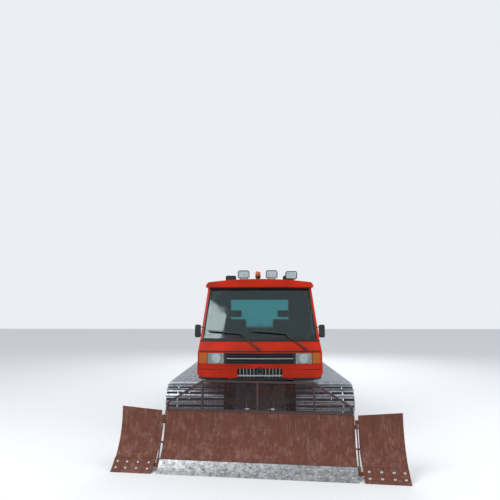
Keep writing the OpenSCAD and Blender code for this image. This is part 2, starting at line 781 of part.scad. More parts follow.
// Rear body
bay_y = [-890, 700];
bay_half = 900;
bay_top = 1850;
module engine_bay() color(paint_red) {
    bay_walls();
    hood_hinges();
}
module bay_walls() difference() {
    block([-bay_half, bay_half], bay_y, [floor_z, bay_top]);
    block([-bay_half + 30, bay_half - 30], [bay_y[0] + 30, bay_y[1] - 30], [floor_z - 1, bay_top + 1]);
    for (s = [-1, 1]) for (i = [0:5])
        block([s * bay_half - 40, s * bay_half + 40], [-500 + i * 130, -420 + i * 130], [1350, 1620]);
}
hood_gap = 5;
hood_axis = [bay_y[0] - 16, bay_top + 20];
hood_hinge_xs = [-600, 600];
module engine_hood() color(paint_red) {
    across(-bay_half, bay_half)
        polygon([[bay_y[0] + 4, bay_top + hood_gap], [bay_y[1] + 6, bay_top + hood_gap],
                 [bay_y[1] + 6, bay_top + 25], [bay_y[1] - 120, bay_top + 60], [bay_y[0] + 4, bay_top + 60]]);
    // Pressed ribs and the handle at the free edge
    for (x = [-660:220:660]) across(x - 30, x + 30)
        polygon([[bay_y[0] + 70, bay_top + 55], [bay_y[1] - 170, bay_top + 55], [bay_y[1] - 185, bay_top + 72],
                 [bay_y[0] + 85, bay_top + 72]]);
    for (s = [-1, 1]) block([s * 90 - 8, s * 90 + 8], [bay_y[1] - 80, bay_y[1] - 50], [bay_top + 25, bay_top + 88]);
    block([-98, 98], [bay_y[1] - 80, bay_y[1] - 50], [bay_top + 76, bay_top + 90]);
    difference() {
        for (x = hood_hinge_xs) across(x - 40, x + 40) {
            translate(hood_axis) circle(r = 14);
            translate([hood_axis[0], hood_axis[1]]) square([25, 14]);
        }
        rod_x(-bay_half, bay_half, hood_axis[0], hood_axis[1], 7 + pin_fit);
    }
}
module hood_hinges() for (x = hood_hinge_xs) {
    for (s = [-1, 1]) across(x + s * 58 - 15, x + s * 58 + 15) {
        translate(hood_axis) circle(r = 14);
        polygon([[hood_axis[0] - 14, hood_axis[1]], [hood_axis[0] + 10, hood_axis[1]],
                 [bay_y[0] + 1, bay_top - 5], [bay_y[0] + 1, bay_top - 60], [hood_axis[0] - 14, bay_top - 30]]);
    }
    rod_x(x - 73, x + 73, hood_axis[0], hood_axis[1], 7);
}
module engine_block() color(bare_steel) {
    block([-330, 330], [-620, 380], [tub_bottom_z + tub_t + 60, 1450]);
    for (s = [-1, 1]) for (y = [-500, 260])
        block([s * 330 - 40, s * 330 + 40], [y - 50, y + 50], [tub_bottom_z + tub_t, tub_bottom_z + tub_t + 61]);
}
module exhaust() color(bare_steel) {
    translate([-bay_half - 80, -780, floor_z]) difference() {
        union() {
            cylinder(r = 45, h = 1150);
            translate([0, 0, 205]) cylinder(r1 = 44, r2 = 75, h = 46);
            translate([0, 0, 250]) cylinder(r = 75, h = 600);
            translate([0, 0, 849]) cylinder(r1 = 75, r2 = 44, h = 46);
            for (z = [330, 760]) translate([0, 0, z]) cylinder(r = 79, h = 26);
        }
        translate([0, 0, 900]) cylinder(r = 40, h = 400);
    }
    block([-945, -bay_half - fit], [-800, -760], [1500, 1540]);
}

bed_y = [712, 2300];
bed_half = 1050;
module load_bed() color(paint_red) {
    block([-bed_half, bed_half], bed_y, [floor_z, floor_z + 60]);
    for (s = [-1, 1])
        block([s * bed_half - 20, s * bed_half + 20], bed_y, [floor_z, floor_z + 380]);
    block([-bed_half, bed_half], [bed_y[0], bed_y[0] + 40], [floor_z, floor_z + 380]);
    block([-bed_half, bed_half], [bed_y[1] - 40, bed_y[1]], [floor_z, floor_z + 380]);
    // Top rails, upright ribs and the boxes of the tail lamps
    for (s = [-1, 1]) {
        block([s * bed_half - 32, s * bed_half + 32], [bed_y[0] + 1, bed_y[1] - 1], [floor_z + 350, floor_z + 392]);
        for (y = [bed_y[0] + 120:330:bed_y[1] - 100])
            block([s * (bed_half + 25) - 18, s * (bed_half + 25) + 18], [y - 25, y + 25], [floor_z + 4, floor_z + 360]);
        block([s * 900 - 90, s * 900 + 90], [bed_y[1] - 1, bed_y[1] + 34], [floor_z + 120, floor_z + 260]);
    }
    block([-bed_half + 33, bed_half - 33], [bed_y[0] - 1, bed_y[0] + 52], [floor_z + 350, floor_z + 388]);
    block([-bed_half + 33, bed_half - 33], [bed_y[1] - 52, bed_y[1] + 8], [floor_z + 350, floor_z + 388]);
    for (x = [-500, 0, 500]) block([x - 25, x + 25], [bed_y[1] - 1, bed_y[1] + 20], [floor_z + 4, floor_z + 360]);
}
module tail_lamps() color([0.7, 0.05, 0.04]) for (s = [-1, 1])
    for (x = [848, 900, 952]) block([s * x - 23, s * x + 23], [bed_y[1] + 34 + fit, bed_y[1] + 46],
                                    [floor_z + 132, floor_z + 248]);

// Doors
module door_body() {
    difference() {
        intersection() {
            cab_shell(floor_z, eaves_z);
            across(700, 1200) door_outline(0);
        }
        across(700, 1200) door_window(0);
    }
    // Handle
    block([cab_w / 2 + 14, cab_w / 2 + 26], [door_rear - 190, door_rear - 50], [1496, 1524]);
    for (y = [door_rear - 186, door_rear - 74])
        block([cab_w / 2 - 8, cab_w / 2 + 15], [y, y + 20], [1500, 1520]);
    difference() {
        for (z = door_hinge_zs) {
            block([cab_w / 2 - 1, cab_w / 2 + 8], [door_axis[1], door_axis[1] + 70], [z, z + 70]);
            translate([door_axis[0], door_axis[1], z]) cylinder(r = 12, h = 70);
        }
        translate([door_axis[0], door_axis[1], 1000]) cylinder(r = 6 + pin_fit, h = 600);
    }
}
module door_window(g) {
    polygon([[door_front + 110 - g, waist_z + 60 - g], [door_rear - 80 + g, waist_z + 60 - g],
             [door_rear - 80 + g, door_head - 70 + g], [door_front + 480 - g, door_head - 70 + g]]);
}
module door_glass() {
    intersection() {
        difference() {
            front_solid(18, 1700, 2700);
            front_solid(24, 1600, 2800);
        }
        across(700, 1200) door_window(-fit);
    }
}
module door_left() color(paint_red) door_body();
module door_right() color(paint_red) mirror([1, 0, 0]) door_body();
module door_glass_left() color(glass_teal) door_glass();
module door_glass_right() color(glass_teal) mirror([1, 0, 0]) door_glass();

// A cylinder from pin p to eye q, both in a plane, as drawn along its own line
module cyl_barrel(p, q, len, r, w) {
    d = q - p;
    translate([p[0], p[1], 0]) rotate(atan2(d[1], d[0])) {
        difference() {
            cylinder(r = 34, h = w, center = true);
            cylinder(r = 20 + pin_fit, h = w + 2, center = true);
        }
        translate([28, 0, 0]) rotate([0, 90, 0]) cylinder(r = 18, h = tube_from - 27);
        translate([tube_from, 0, 0]) rotate([0, 90, 0]) difference() {
            cylinder(r = r, h = len - tube_from);
            translate([0, 0, 12]) cylinder(r = rod_r + pin_fit, h = len);
        }
    }
}
// The rod reaches back into the barrel to a distance tuck from the barrel's pin
module cyl_rod(p, q, tuck, w) {
    d = q - p;
    total = norm(d);
    translate([q[0], q[1], 0]) rotate(atan2(d[1], d[0])) {
        difference() {
            cylinder(r = 34, h = w, center = true);
            cylinder(r = 20, h = w + 2, center = true);
        }
        translate([tuck - total, 0, 0]) rotate([0, 90, 0]) cylinder(r = rod_r, h = total - tuck - 27);
    }
}
rod_r = 18;
tube_from = 56;

// Blade lift linkage
lift_eye = [-2650, 610];
module swing_plane(x) translate([x, 0, 0]) rotate([90, 0, 90]) children();
lift_len = 330;
lift_tuck = 245;

// Push frame from the chassis to the swivel
arm_z = [440, 560];
arm_half_w = 45;
plate_t = 35;
hub_z = [265, 535];
hub_r_big = 75;
post_r = 40;
web_y = [-swivel_y + 90, -swivel_y + 150];
yaw_z = 380;
yaw_foot = [400, -2440];
yaw_eye = [285, -swivel_y - 30];
yaw_eye_w = 50;
yaw_len = 520;
yaw_tuck = 210;
eye_side_gap = 3;

module ears_up(x, half_gap, z0, p, r) {
    for (s = [-1, 1])
        across(x + s * (half_gap + lug_t / 2) - lug_t / 2, x + s * (half_gap + lug_t / 2) + lug_t / 2) {
            translate(p) circle(r = r);
            polygon([[p[0] - r, z0], [p[0] + r, z0], [p[0] + r, p[1]], [p[0] - r, p[1]]]);
        }
}

// Two plates above and below height z, from a drawing in (x, y)
module fork(z, half_gap) {
    for (s = [-1, 1])
        translate([0, 0, z + s * (half_gap + lug_t / 2) - lug_t / 2]) linear_extrude(lug_t) children();
}

module strip(p, q, w) {
    d = q - p;
    n = [-d[1], d[0]] / norm(d) * w;
    polygon([p + n, q + n, q - n, p - n]);
}

module lift_frame() color(dark_steel) {
    both_sides() {
        rod_x(frame_x - 42, frame_x + 42, lift_pivot[0], lift_pivot[1], 60);
        rod_x(frame_x - 45 - lug_t, frame_x + 45 + lug_t, lift_pivot[0], lift_pivot[1], pivot_r - pin_fit);
        translate([0, 0, arm_z[0]]) linear_extrude(arm_z[1] - arm_z[0]) {
            translate([frame_x - 42, -2260]) square([84, 130]);
            strip([frame_x - 20, -2230], [95, web_y[0] + 30], arm_half_w);
        }
        ears_up(lift_x, 33, arm_z[1] - 1, lift_eye, 40);
        // Bracket of the yaw cylinder under the arm
        fork(yaw_z, yaw_eye_w / 2 + eye_side_gap) {
            translate(yaw_foot) circle(r = 36);
            strip([250, -2440], yaw_foot, 36);
        }
        block([232, 300], [-2476, -2404], [yaw_z - yaw_eye_w / 2 - eye_side_gap - lug_t, arm_z[0] + 1]);
        translate([yaw_foot[0], yaw_foot[1], yaw_z - 50]) cylinder(r = 20, h = 100);
    }
    block([-frame_x, frame_x], [-2330, -2250], arm_z);
    // Head that holds the swivel post between two plates
    block([-95, 95], web_y, [hub_z[0] - 5 - plate_t, hub_z[1] + 5 + plate_t]);
    for (z = [hub_z[0] - 5 - plate_t, hub_z[1] + 5])
        translate([0, 0, z]) linear_extrude(plate_t) difference() {
            union() {
                translate([0, -swivel_y]) circle(r = 85);
                translate([-85, -swivel_y]) square([170, swivel_y + web_y[1]]);
            }
            translate([0, -swivel_y]) circle(r = post_r);
        }
}

// Everything ahead of the swivel is drawn square to the blade and then turned by its parked yaw
module yawed() {
    translate([0, -swivel_y, 0]) rotate(-blade_yaw) translate([0, swivel_y, 0]) children();
}
function turned(p) =
    let (a = -blade_yaw, d = p + [0, swivel_y])
    [d[0] * cos(a) - d[1] * sin(a), d[0] * sin(a) + d[1] * cos(a) - swivel_y];

roll_z = 400;
roll_r = 45;
roll_y = -swivel_y - 100;
tilt_y = roll_y - 70;
tilt_foot = [70, 640];
tilt_eye = [-420, 640];
tilt_len = 330;
tilt_tuck = 115;
tilt_w = 50;
module swivel_head() color(dark_steel) yawed() {
    translate([0, -swivel_y, hub_z[0]]) cylinder(r = hub_r_big, h = hub_z[1] - hub_z[0]);
    translate([0, -swivel_y, hub_z[0] - 5 - plate_t])
        cylinder(r = post_r - pin_fit, h = hub_z[1] - hub_z[0] + 10 + 2 * plate_t);
    block([-70, 70], [roll_y - 25, -swivel_y], [330, 470]);
    translate([0, roll_y, roll_z]) rotate([90, 0, 0]) cylinder(r = roll_r, h = 180);
    both_sides() fork(yaw_z, yaw_eye_w / 2 + eye_side_gap) {
        translate(yaw_eye) circle(r = 36);
        polygon([[0, yaw_eye[1]], [0, roll_y - 10], [210, roll_y - 10], yaw_eye + [30, -20], yaw_eye + [0, 36],
                 [90, yaw_eye[1] + 50]]);
    }
    both_sides() block([60, 200], [roll_y - 10, roll_y + 15], [340, 420]);
    // Mast of the tilt cylinder
    block([20, 120], [roll_y - 25, roll_y + 5], [340, 600]);
    for (s = [-1, 1])
        translate([0, tilt_y + s * (tilt_w / 2 + eye_side_gap + lug_t / 2), 0])
            along_y(-lug_t / 2, lug_t / 2) {
                translate(tilt_foot) circle(r = 36);
                strip([70, 560], tilt_foot, 36);
            }
    translate([tilt_foot[0], tilt_y + 50, tilt_foot[1]]) rotate([90, 0, 0]) cylinder(r = 20, h = 100);
    block([34, 106], [tilt_y - tilt_w / 2 - eye_side_gap - lug_t, roll_y + 5], [540, 585]);
}

// Blade
deep_y = roll_y - 160;
mould_c = [deep_y - 995, 690];
edge_t = 20;
edge_h = 150;
plate_foot_z = 25;
wing_x = blade_half + wing_gap / 2;
function mould_y(z, r) = mould_c[0] + sqrt(r * r - (z - mould_c[1]) * (z - mould_c[1]));
chord_foot = [mould_y(20, mould_r), 20];
chord_head = [mould_y(blade_h, mould_r), blade_h];
chord_d = chord_head - chord_foot;
lean = atan2(chord_d[0], chord_d[1]);
hinge_back = 51;
hinge_mid = (chord_foot + chord_head) / 2 + hinge_back * [cos(lean), -sin(lean)];

module mould_ring(r0, r1, z0, z1) {
    intersection() {
        difference() {
            translate(mould_c) circle(r = r1, $fn = 180);
            translate(mould_c) circle(r = r0, $fn = 180);
        }
        translate([mould_c[0], z0]) square([1200, z1 - z0]);
    }
}

// Frame of a wing hinge on the +X side: x across, y behind, z up along the leaning pin
module hinge_frame() {
    translate([wing_x, hinge_mid[0], hinge_mid[1]]) rotate([-lean, 0, 0]) children();
}

knuckle_r = 20;
knuckle_pin_r = 10;
wing_foot = [-620, 170];
wing_eye = [200, 230];
wing_len = 482;
wing_tuck = 120;
wing_w = 44;
module knuckle(z0, z1, r) {
    translate([0, 0, z0]) cylinder(r = r, h = z1 - z0);
}

module blade() color(rust) yawed() {
    across(-blade_half, blade_half) mould_ring(mould_r, mould_r + mould_t, plate_foot_z, blade_h);
    across(-blade_half + 5, blade_half - 5) {
        mould_ring(mould_r + 5, mould_r + 75, blade_h - 80, blade_h - 13);
        mould_ring(mould_r + 5, mould_r + 66, 62, 145);
    }
    both_sides() {
        for (x = [200, 600]) across(x - 8, x + 8) intersection() {
            mould_ring(mould_r + 5, mould_r + 400, 75, blade_h - 25);
            translate([mould_c[0], 0]) square([deep_y - mould_c[0], blade_h + 25]);
        }
        across(992, 1008) mould_ring(mould_r + 5, mould_r + 60, 80, blade_h - 20);
        across(1312, 1328) mould_ring(mould_r + 5, mould_r + 24, 80, blade_h - 20);
    }
    // Hub that the roll pin turns in, on its back plate
    difference() {
        union() {
            block([-300, 300], [deep_y - 15, deep_y], [150, 690]);
            translate([0, deep_y + 120, roll_z]) rotate([90, 0, 0]) cylinder(r = 85, h = 150);
        }
        translate([0, roll_y, roll_z]) rotate([90, 0, 0]) cylinder(r = roll_r + pin_fit, h = 400);
    }
    // Ears of the tilt cylinder's eye
    for (s = [-1, 1])
        translate([0, tilt_y + s * (tilt_w / 2 + eye_side_gap + lug_t / 2), 0]) along_y(-lug_t / 2, lug_t / 2) {
            translate(tilt_eye) circle(r = 40);
            strip([-420, 540], tilt_eye, 40);
        }
    block([-460, -380], [deep_y - 100, tilt_y + 50], [520, 560]);
    both_sides() hinge_frame() {
        // Knuckles and straps of the wing hinge
        difference() {
            for (z = [-295, 235]) {
                knuckle(z, z + 60, knuckle_r);
                block([-110, 0], [15, 30], [z, z + 60]);
            }
            knuckle(-400, 400, knuckle_pin_r + pin_fit);
        }
        fork(0, wing_w / 2 + eye_side_gap) {
            translate(wing_foot) circle(r = 34);
            polygon([[wing_foot[0] - 70, 52], [wing_foot[0] + 70, 52], wing_foot + [34, 0], wing_foot - [34, 0]]);
        }
        translate([wing_foot[0], wing_foot[1], -50]) cylinder(r = 20, h = 100);
    }
}
module cutting_edge() color(bare_steel) yawed()
    across(-blade_half, blade_half) mould_ring(mould_r - edge_t, mould_r - fit, 0, edge_h);

module wing() yawed() {
    wing_in = blade_half + wing_gap;
    intersection() {
        across(wing_in, wing_foot_x + 50) {
            mould_ring(mould_r, mould_r + mould_t, plate_foot_z, wing_h);
            mould_ring(mould_r - edge_t, mould_r + 0.1, 0, edge_h);
        }
        along_y(mould_c[0], mould_c[0] + 1055)
            polygon([[wing_in + 28, 0], [wing_foot_x, 0], [wing_head_x, wing_h], [wing_in, blade_h],
                     [wing_in, 300]]);
    }
    for (x = [wing_in + 150, wing_foot_x - 250])
        across(x - 8, x + 8) mould_ring(mould_r + 5, mould_r + 60, 80, blade_h - 40);
    hinge_frame() {
        for (z = [-345, 300]) {
            knuckle(z, z + 45, knuckle_r);
            block([0, 110], [-5, 18], [z, z + 45]);
        }
        knuckle(-345, 345, knuckle_pin_r);
        fork(0, wing_w / 2 + eye_side_gap) {
            translate(wing_eye) circle(r = 34);
            polygon([[100, 52], [300, 52], wing_eye + [34, 0], wing_eye - [34, 0]]);
        }
    }
}
module wing_left() color(rust) wing();
module wing_right() color(rust) yawed() mirror([1, 0, 0]) unyawed() wing();
module unyawed() {
    translate([0, -swivel_y, 0]) rotate(blade_yaw) translate([0, swivel_y, 0]) children();
}

// Mesh screen on top of the blade
screen_z = [blade_h, blade_h + 115, blade_h + 443];
screen_x = [1360, 820];
screen_y = mould_y(690, mould_r);
module screen_shape(g) {
    polygon([[-screen_x[0] + g, screen_z[0] + g], [screen_x[0] - g, screen_z[0] + g],
             [screen_x[0] - g, screen_z[1] - g * 0.4], [screen_x[1] - g * 0.4, screen_z[2] - g],
             [-screen_x[1] + g * 0.4, screen_z[2] - g], [-screen_x[0] + g, screen_z[1] - g * 0.4]]);
}
module blade_screen() color(rust) yawed() {
    along_y(screen_y - 10, screen_y + 25) {
        difference() {
            screen_shape(0);
            screen_shape(38);
        }
        intersection() {
            screen_shape(5);
            for (x = [-screen_x[1], 0, screen_x[1]]) translate([x - 15, blade_h - 20]) square([30, 600]);
        }
    }
    along_y(screen_y + 2, screen_y + 10) intersection() {
        screen_shape(20);
        union() {
            for (x = [-1300:100:1300]) translate([x - 3, blade_h - 20]) square([6, 600]);
            for (z = [75:100:375]) translate([-1400, blade_h + z - 3]) square([2800, 6]);
        }
    }
}

// Blade cylinders
lift_d = 38;
module lift_barrels() color(dark_steel) both_sides() swing_plane(lift_x)
    cyl_barrel(lift_top, lift_eye, lift_len, lift_d, 56);
module lift_rods() color(bare_steel) both_sides() swing_plane(lift_x) cyl_rod(lift_top, lift_eye, lift_tuck, 56);

module yaw_barrel(s) translate([0, 0, yaw_z])
    cyl_barrel([s * yaw_foot[0], yaw_foot[1]], turned([s * yaw_eye[0], yaw_eye[1]]), yaw_len, 32, yaw_eye_w);
module yaw_rod(s) translate([0, 0, yaw_z])
    cyl_rod([s * yaw_foot[0], yaw_foot[1]], turned([s * yaw_eye[0], yaw_eye[1]]), yaw_tuck, yaw_eye_w);
module yaw_barrel_left() color(dark_steel) yaw_barrel(1);
module yaw_rod_left() color(bare_steel) yaw_rod(1);
module yaw_barrel_right() color(dark_steel) yaw_barrel(-1);
module yaw_rod_right() color(bare_steel) yaw_rod(-1);

module tilt_plane() yawed() translate([0, tilt_y, 0]) rotate([90, 0, 0]) children();
module tilt_barrel() color(dark_steel) tilt_plane() cyl_barrel(tilt_foot, tilt_eye, tilt_len, 32, tilt_w);
module tilt_rod() color(bare_steel) tilt_plane() cyl_rod(tilt_foot, tilt_eye, tilt_tuck, tilt_w);

module wing_barrel() hinge_frame() cyl_barrel(wing_foot, wing_eye, wing_len, 30, wing_w);
module wing_rod() hinge_frame() cyl_rod(wing_foot, wing_eye, wing_tuck, wing_w);
module wing_barrel_left() color(dark_steel) yawed() wing_barrel();
module wing_rod_left() color(bare_steel) yawed() wing_rod();
module wing_barrel_right() color(dark_steel) yawed() mirror([1, 0, 0]) wing_barrel();
module wing_rod_right() color(bare_steel) yawed() mirror([1, 0, 0]) wing_rod();

// Rear frame and tiller
rear_eye = [2900, 650];
rear_len = 330;
rear_tuck = 252;
beam_y = [rotor_y - 90, rotor_y + 210];
beam_z = [465, 600];
module rear_frame() color(dark_steel) {
    both_sides() {
        rod_x(frame_x - 42, frame_x + 42, rear_pivot[0], rear_pivot[1], 60);
        rod_x(frame_x - 45 - lug_t, frame_x + 45 + lug_t, rear_pivot[0], rear_pivot[1], pivot_r - pin_fit);
        block([frame_x - 42, frame_x + 42], [rear_pivot[0], beam_y[0] - fit], [rear_pivot[1] - 55, rear_pivot[1] + 55]);
        ears_up(lift_x, 33, rear_pivot[1] + 54, rear_eye, 40);
    }
    block([-frame_x, frame_x], [rear_eye[0] - 45, rear_eye[0] + 45], [rear_pivot[1] - 55, rear_pivot[1] + 55]);
}
module rear_barrels() color(dark_steel) both_sides() swing_plane(lift_x)
    cyl_barrel(rear_top, rear_eye, rear_len, lift_d, 56);
module rear_rods() color(bare_steel) both_sides() swing_plane(lift_x) cyl_rod(rear_top, rear_eye, rear_tuck, 56);

cover_r = tine_r + 20;
end_t = 14;
module tiller_housing() color(paint_red) {
    block([-rotor_half, rotor_half], beam_y, beam_z);
    difference() {
        union() {
            across(-rotor_half - 12, rotor_half + 12) intersection() {
                difference() {
                    translate([rotor_y, rotor_z]) circle(r = cover_r + 12, $fn = 96);
                    translate([rotor_y, rotor_z]) circle(r = cover_r, $fn = 96);
                }
                translate([rotor_y - 380, rotor_z - 60]) square([1000, 600]);
            }
            both_sides() across(rotor_half + 12, rotor_half + 12 + end_t) {
                translate([rotor_y, rotor_z]) circle(r = cover_r + 12, $fn = 96);
                polygon([[beam_y[0], beam_z[1]], [beam_y[1], beam_z[1]], [beam_y[1], rotor_z], [beam_y[0] - 60, rotor_z]]);
            }
        }
        rod_x(-3000, 3000, rotor_y, rotor_z, 30 + pin_fit);
    }
    // Drive motors on the end plates, and gussets between beam and cover
    both_sides() difference() {
        union() {
            rod_x(rotor_half + 25, rotor_half + 60, rotor_y, rotor_z, 82);
            rod_x(rotor_half + 59, rotor_half + 130, rotor_y, rotor_z, 55);
        }
        rod_x(rotor_half, rotor_half + 34, rotor_y, rotor_z, 36);
    }
    for (x = [-1500:500:1500]) across(x - 6, x + 6)
        polygon([[beam_y[0] - 60, rotor_z + 160], [beam_y[0] + 10, rotor_z + 228], [beam_y[0] + 10, beam_z[0] + 60],
                 [beam_y[0] - 20, beam_z[0] + 40]]);
}
module tiller_rotor() color(bare_steel) {
    rod_x(-rotor_half, rotor_half, rotor_y, rotor_z, 85);
    rod_x(-rotor_half - 12 - end_t, rotor_half + 12 + end_t, rotor_y, rotor_z, 30);
    tines = 44;
    for (i = [0:tines - 1]) {
        x = -rotor_half + 40 + i * (2 * rotor_half - 80) / (tines - 1);
        across(x - 8, x + 8) for (a = [0, 180])
            translate([rotor_y, rotor_z]) rotate(a + i * 37.5)
                polygon([[70, -30], [tine_r - 30, -16], [tine_r, 6], [tine_r - 8, 18], [70, 30]]);
    }
    for (s = [-1, 1]) rod_x(s * (rotor_half - 8) - 8, s * (rotor_half - 8) + 8, rotor_y, rotor_z, 130);
}
// Mat as a drawing in (y, z), hung on the beam, with a row of ribs along its flat part
mat_y = [beam_y[1] + fit, rotor_y + 400, rotor_y + 790];
rib_pitch = 120;
module finisher() color(rubber) {
    across(-mat_half, mat_half)
        polygon([[mat_y[0], beam_z[0] + 15], [mat_y[0], beam_z[0] - 15], [mat_y[1], 120], [mat_y[2], 5],
                 [mat_y[2], 25], [mat_y[1] + 15, 140], [mat_y[0] + 25, beam_z[0] + 15]]);
    for (x = [-mat_half + 70:rib_pitch:mat_half - 60]) across(x - 17, x + 17)
        polygon([[mat_y[1] + 40, 115], [mat_y[1] + 60, 140], [mat_y[2] - 40, 42], [mat_y[2] - 12, 16]]);
}

chassis_frame();
wheel_arms();
tyres();
rims();
sprockets();
track_left();
track_right();
bumper();
intake_bars();
nose_panel();
grille();
headlamps();
indicators();
cab_frame();
windscreen();
window_seals();
roof();
cab_floor();
cab_glass();
dash();
seats();
wipers();
roof_lamps();
beacon();
mirrors();
engine_bay();
engine_block();
exhaust();
load_bed();
tail_lamps();
door_left();
door_right();
door_glass_left();
door_glass_right();
engine_hood();
lift_frame();
swivel_head();
blade();
cutting_edge();
blade_screen();
wing_left();
wing_right();
lift_barrels();
lift_rods();
yaw_barrel_left();
yaw_rod_left();
yaw_barrel_right();
yaw_rod_right();
tilt_barrel();
tilt_rod();
wing_barrel_left();
wing_rod_left();
wing_barrel_right();
wing_rod_right();
rear_frame();
rear_barrels();
rear_rods();
tiller_housing();
tiller_rotor();
finisher();
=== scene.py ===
"""Tracked snow groomer: finishes, lamps, tracks, mesh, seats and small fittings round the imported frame.

Lengths are metres, the machine's front faces -Y, its left side is +X, and the ground is at z = 0.
"""

import math

import bmesh
import bpy
import numpy as np
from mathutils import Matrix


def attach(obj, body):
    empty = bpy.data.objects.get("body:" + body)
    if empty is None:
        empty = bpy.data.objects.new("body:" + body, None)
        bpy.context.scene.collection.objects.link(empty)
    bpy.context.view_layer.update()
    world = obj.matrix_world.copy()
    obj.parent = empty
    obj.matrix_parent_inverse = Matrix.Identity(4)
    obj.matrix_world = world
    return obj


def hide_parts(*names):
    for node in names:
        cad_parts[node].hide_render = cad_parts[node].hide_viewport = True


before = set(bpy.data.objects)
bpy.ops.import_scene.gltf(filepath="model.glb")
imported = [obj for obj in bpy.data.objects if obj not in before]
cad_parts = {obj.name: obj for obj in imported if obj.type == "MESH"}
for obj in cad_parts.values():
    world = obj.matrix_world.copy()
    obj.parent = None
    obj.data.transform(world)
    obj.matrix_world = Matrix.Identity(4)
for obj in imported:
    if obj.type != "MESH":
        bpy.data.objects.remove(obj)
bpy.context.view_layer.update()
TAU = 2 * math.pi
ORIGIN = np.zeros(3)
ACROSS, REAR, UP = np.eye(3)
FLIP = np.array([-1.0, 1.0, 1.0])
# A direction that none of the axes here runs along
SKEW = (0.31, 0.52, 0.79)


# Forms are pairs of a point array and a list of face arrays

def xyz(x, y, z):
    """Points from three numbers or arrays, spread over each other's shapes."""
    return np.stack(np.broadcast_arrays(*(np.asarray(c, float) for c in (x, y, z))), -1)


def unit(v):
    """v / |v| along the last axis."""
    return v / np.linalg.norm(v, axis=-1, keepdims=True)


def circle(count, r=1.0, shift=0.0):
    """r cos a and r sin a at even steps round a circle, shifted by a share of a step."""
    a = (np.arange(count) + shift) / count * TAU
    return r * np.cos(a), r * np.sin(a)


def joined(*forms):
    """One form from several: their points stacked, their face numbers shifted by the points before them."""
    points, faces, start = [], [], 0
    for p, fs in forms:
        points.append(p)
        faces += [f + start for f in fs]
        start += len(p)
    return np.vstack(points), faces


def grid(p, wrap_u=False, wrap_v=False, ends=False):
    """Quads over points p[u, v], round again where wrapped; ends closes the first and the last row."""
    nu, nv = p.shape[:2]
    u, v = np.meshgrid(np.arange(nu - (not wrap_u)), np.arange(nv - (not wrap_v)), indexing="ij")
    un, vn = (u + 1) % nu, (v + 1) % nv
    faces = [np.stack([u * nv + v, un * nv + v, un * nv + vn, u * nv + vn], -1).reshape(-1, 4)]
    if ends:
        faces += [np.arange(nv)[None], np.arange(nv)[None] + (nu - 1) * nv]
    return p.reshape(-1, 3), faces


def tube(path, radius, sides):
    """Each point of the path plus r (cos a n + sin a b), with n and b square to the way the path runs."""
    path = np.asarray(path, float)
    way = unit(np.gradient(path, axis=0))
    b = unit(np.cross(way, UP))
    n = np.cross(b, way)
    c, s = (part[:, None] for part in circle(sides))
    r = np.asarray(radius, float).reshape(-1, 1, 1)
    return grid(path[:, None] + r * (c * n[:, None] + s * b[:, None]), wrap_v=True, ends=True)


def spun(profile, centre=ORIGIN, axis=UP, sides=32, ring=False):
    """centre + h axis + r (cos a n + sin a b) for each (r, h) of a profile from pole to pole, or a ring."""
    axis = unit(np.asarray(axis, float))
    n = unit(np.cross(axis, SKEW))
    b = np.cross(axis, n)
    c, s = (part[:, None] for part in circle(sides))
    r, h = np.asarray(profile, float).T[:, :, None, None]
    return grid(np.asarray(centre) + h * axis + r * (c * n + s * b), wrap_u=ring, wrap_v=True)


def collar(profile, centre, axis, sides):
    """Ring whose closed profile (r, h) is turned about an axis."""
    return spun(profile, centre, axis, sides, ring=True)


def prism(outline, origin, x_axis, y_axis, depth):
    """An outline (s, t) placed at origin + s x_axis + t y_axis and pushed by the vector depth."""
    o = np.asarray(outline, float)
    flat = np.asarray(origin) + o[:, :1] * np.asarray(x_axis) + o[:, 1:] * np.asarray(y_axis)
    return grid(np.stack([flat, flat + np.asarray(depth)]), wrap_v=True, ends=True)


def soft_box(x, y, z, r, steps):
    """Box with rounded edges: middle + sign(d) (half - r) + r d, for directions d over the sphere."""
    quarter = np.arange(steps + 1) / steps * math.pi / 2
    polar = np.concatenate([quarter, quarter + math.pi / 2])[:, None]
    turn = np.concatenate([quarter + k * math.pi / 2 for k in range(4)])
    d = xyz(np.sin(polar) * np.cos(turn), np.sin(polar) * np.sin(turn), np.cos(polar))
    sign = xyz(*(np.repeat(s, steps + 1) for s in ([1, -1, -1, 1], [1, 1, -1, -1])),
               np.repeat([1, -1], steps + 1)[:, None])
    box = np.array([x, y, z], float)
    half = (box[:, 1] - box[:, 0]) / 2
    return grid(box.mean(1) + sign * (half - r) + r * d, wrap_v=True, ends=True)


def copied(faces, count, size):
    """The faces of count copies of a form that has so many points."""
    shift = (np.arange(count) * size)[:, None, None]
    return [(f + shift).reshape(-1, f.shape[1]) for f in faces]


def repeated(form, places):
    """A copy of the form for each 4 x 4 matrix M: every point p becomes M p."""
    p, faces = form
    out = np.einsum("kij,nj->kni", places, np.c_[p, np.ones(len(p))])[..., :3]
    return out.reshape(-1, 3), copied(faces, len(places), len(p))


def stands(origins, z_axes, x_axes=ACROSS):
    """Matrices that stand a form at each origin with its z and x along the given axes."""
    origins, z, x = np.broadcast_arrays(np.atleast_2d(np.asarray(origins, float)), z_axes, x_axes)
    z = unit(z)
    x = unit(x - (x * z).sum(-1, keepdims=True) * z)
    m = np.zeros((len(origins), 4, 4))
    m[:, :3, 0], m[:, :3, 1], m[:, :3, 2], m[:, :3, 3] = x, np.cross(z, x), z, origins
    m[:, 3, 3] = 1
    return m


def stood(form, at, z_axis=UP, x_axis=ACROSS):
    """A copy of the form stood at each place."""
    return repeated(form, stands(at, z_axis, x_axis))


def moved(form, by):
    """The form shifted by a vector."""
    return form[0] + np.asarray(by), form[1]


def mirrored(form):
    """The same form on the other side: x becomes -x."""
    return form[0] * FLIP, form[1]


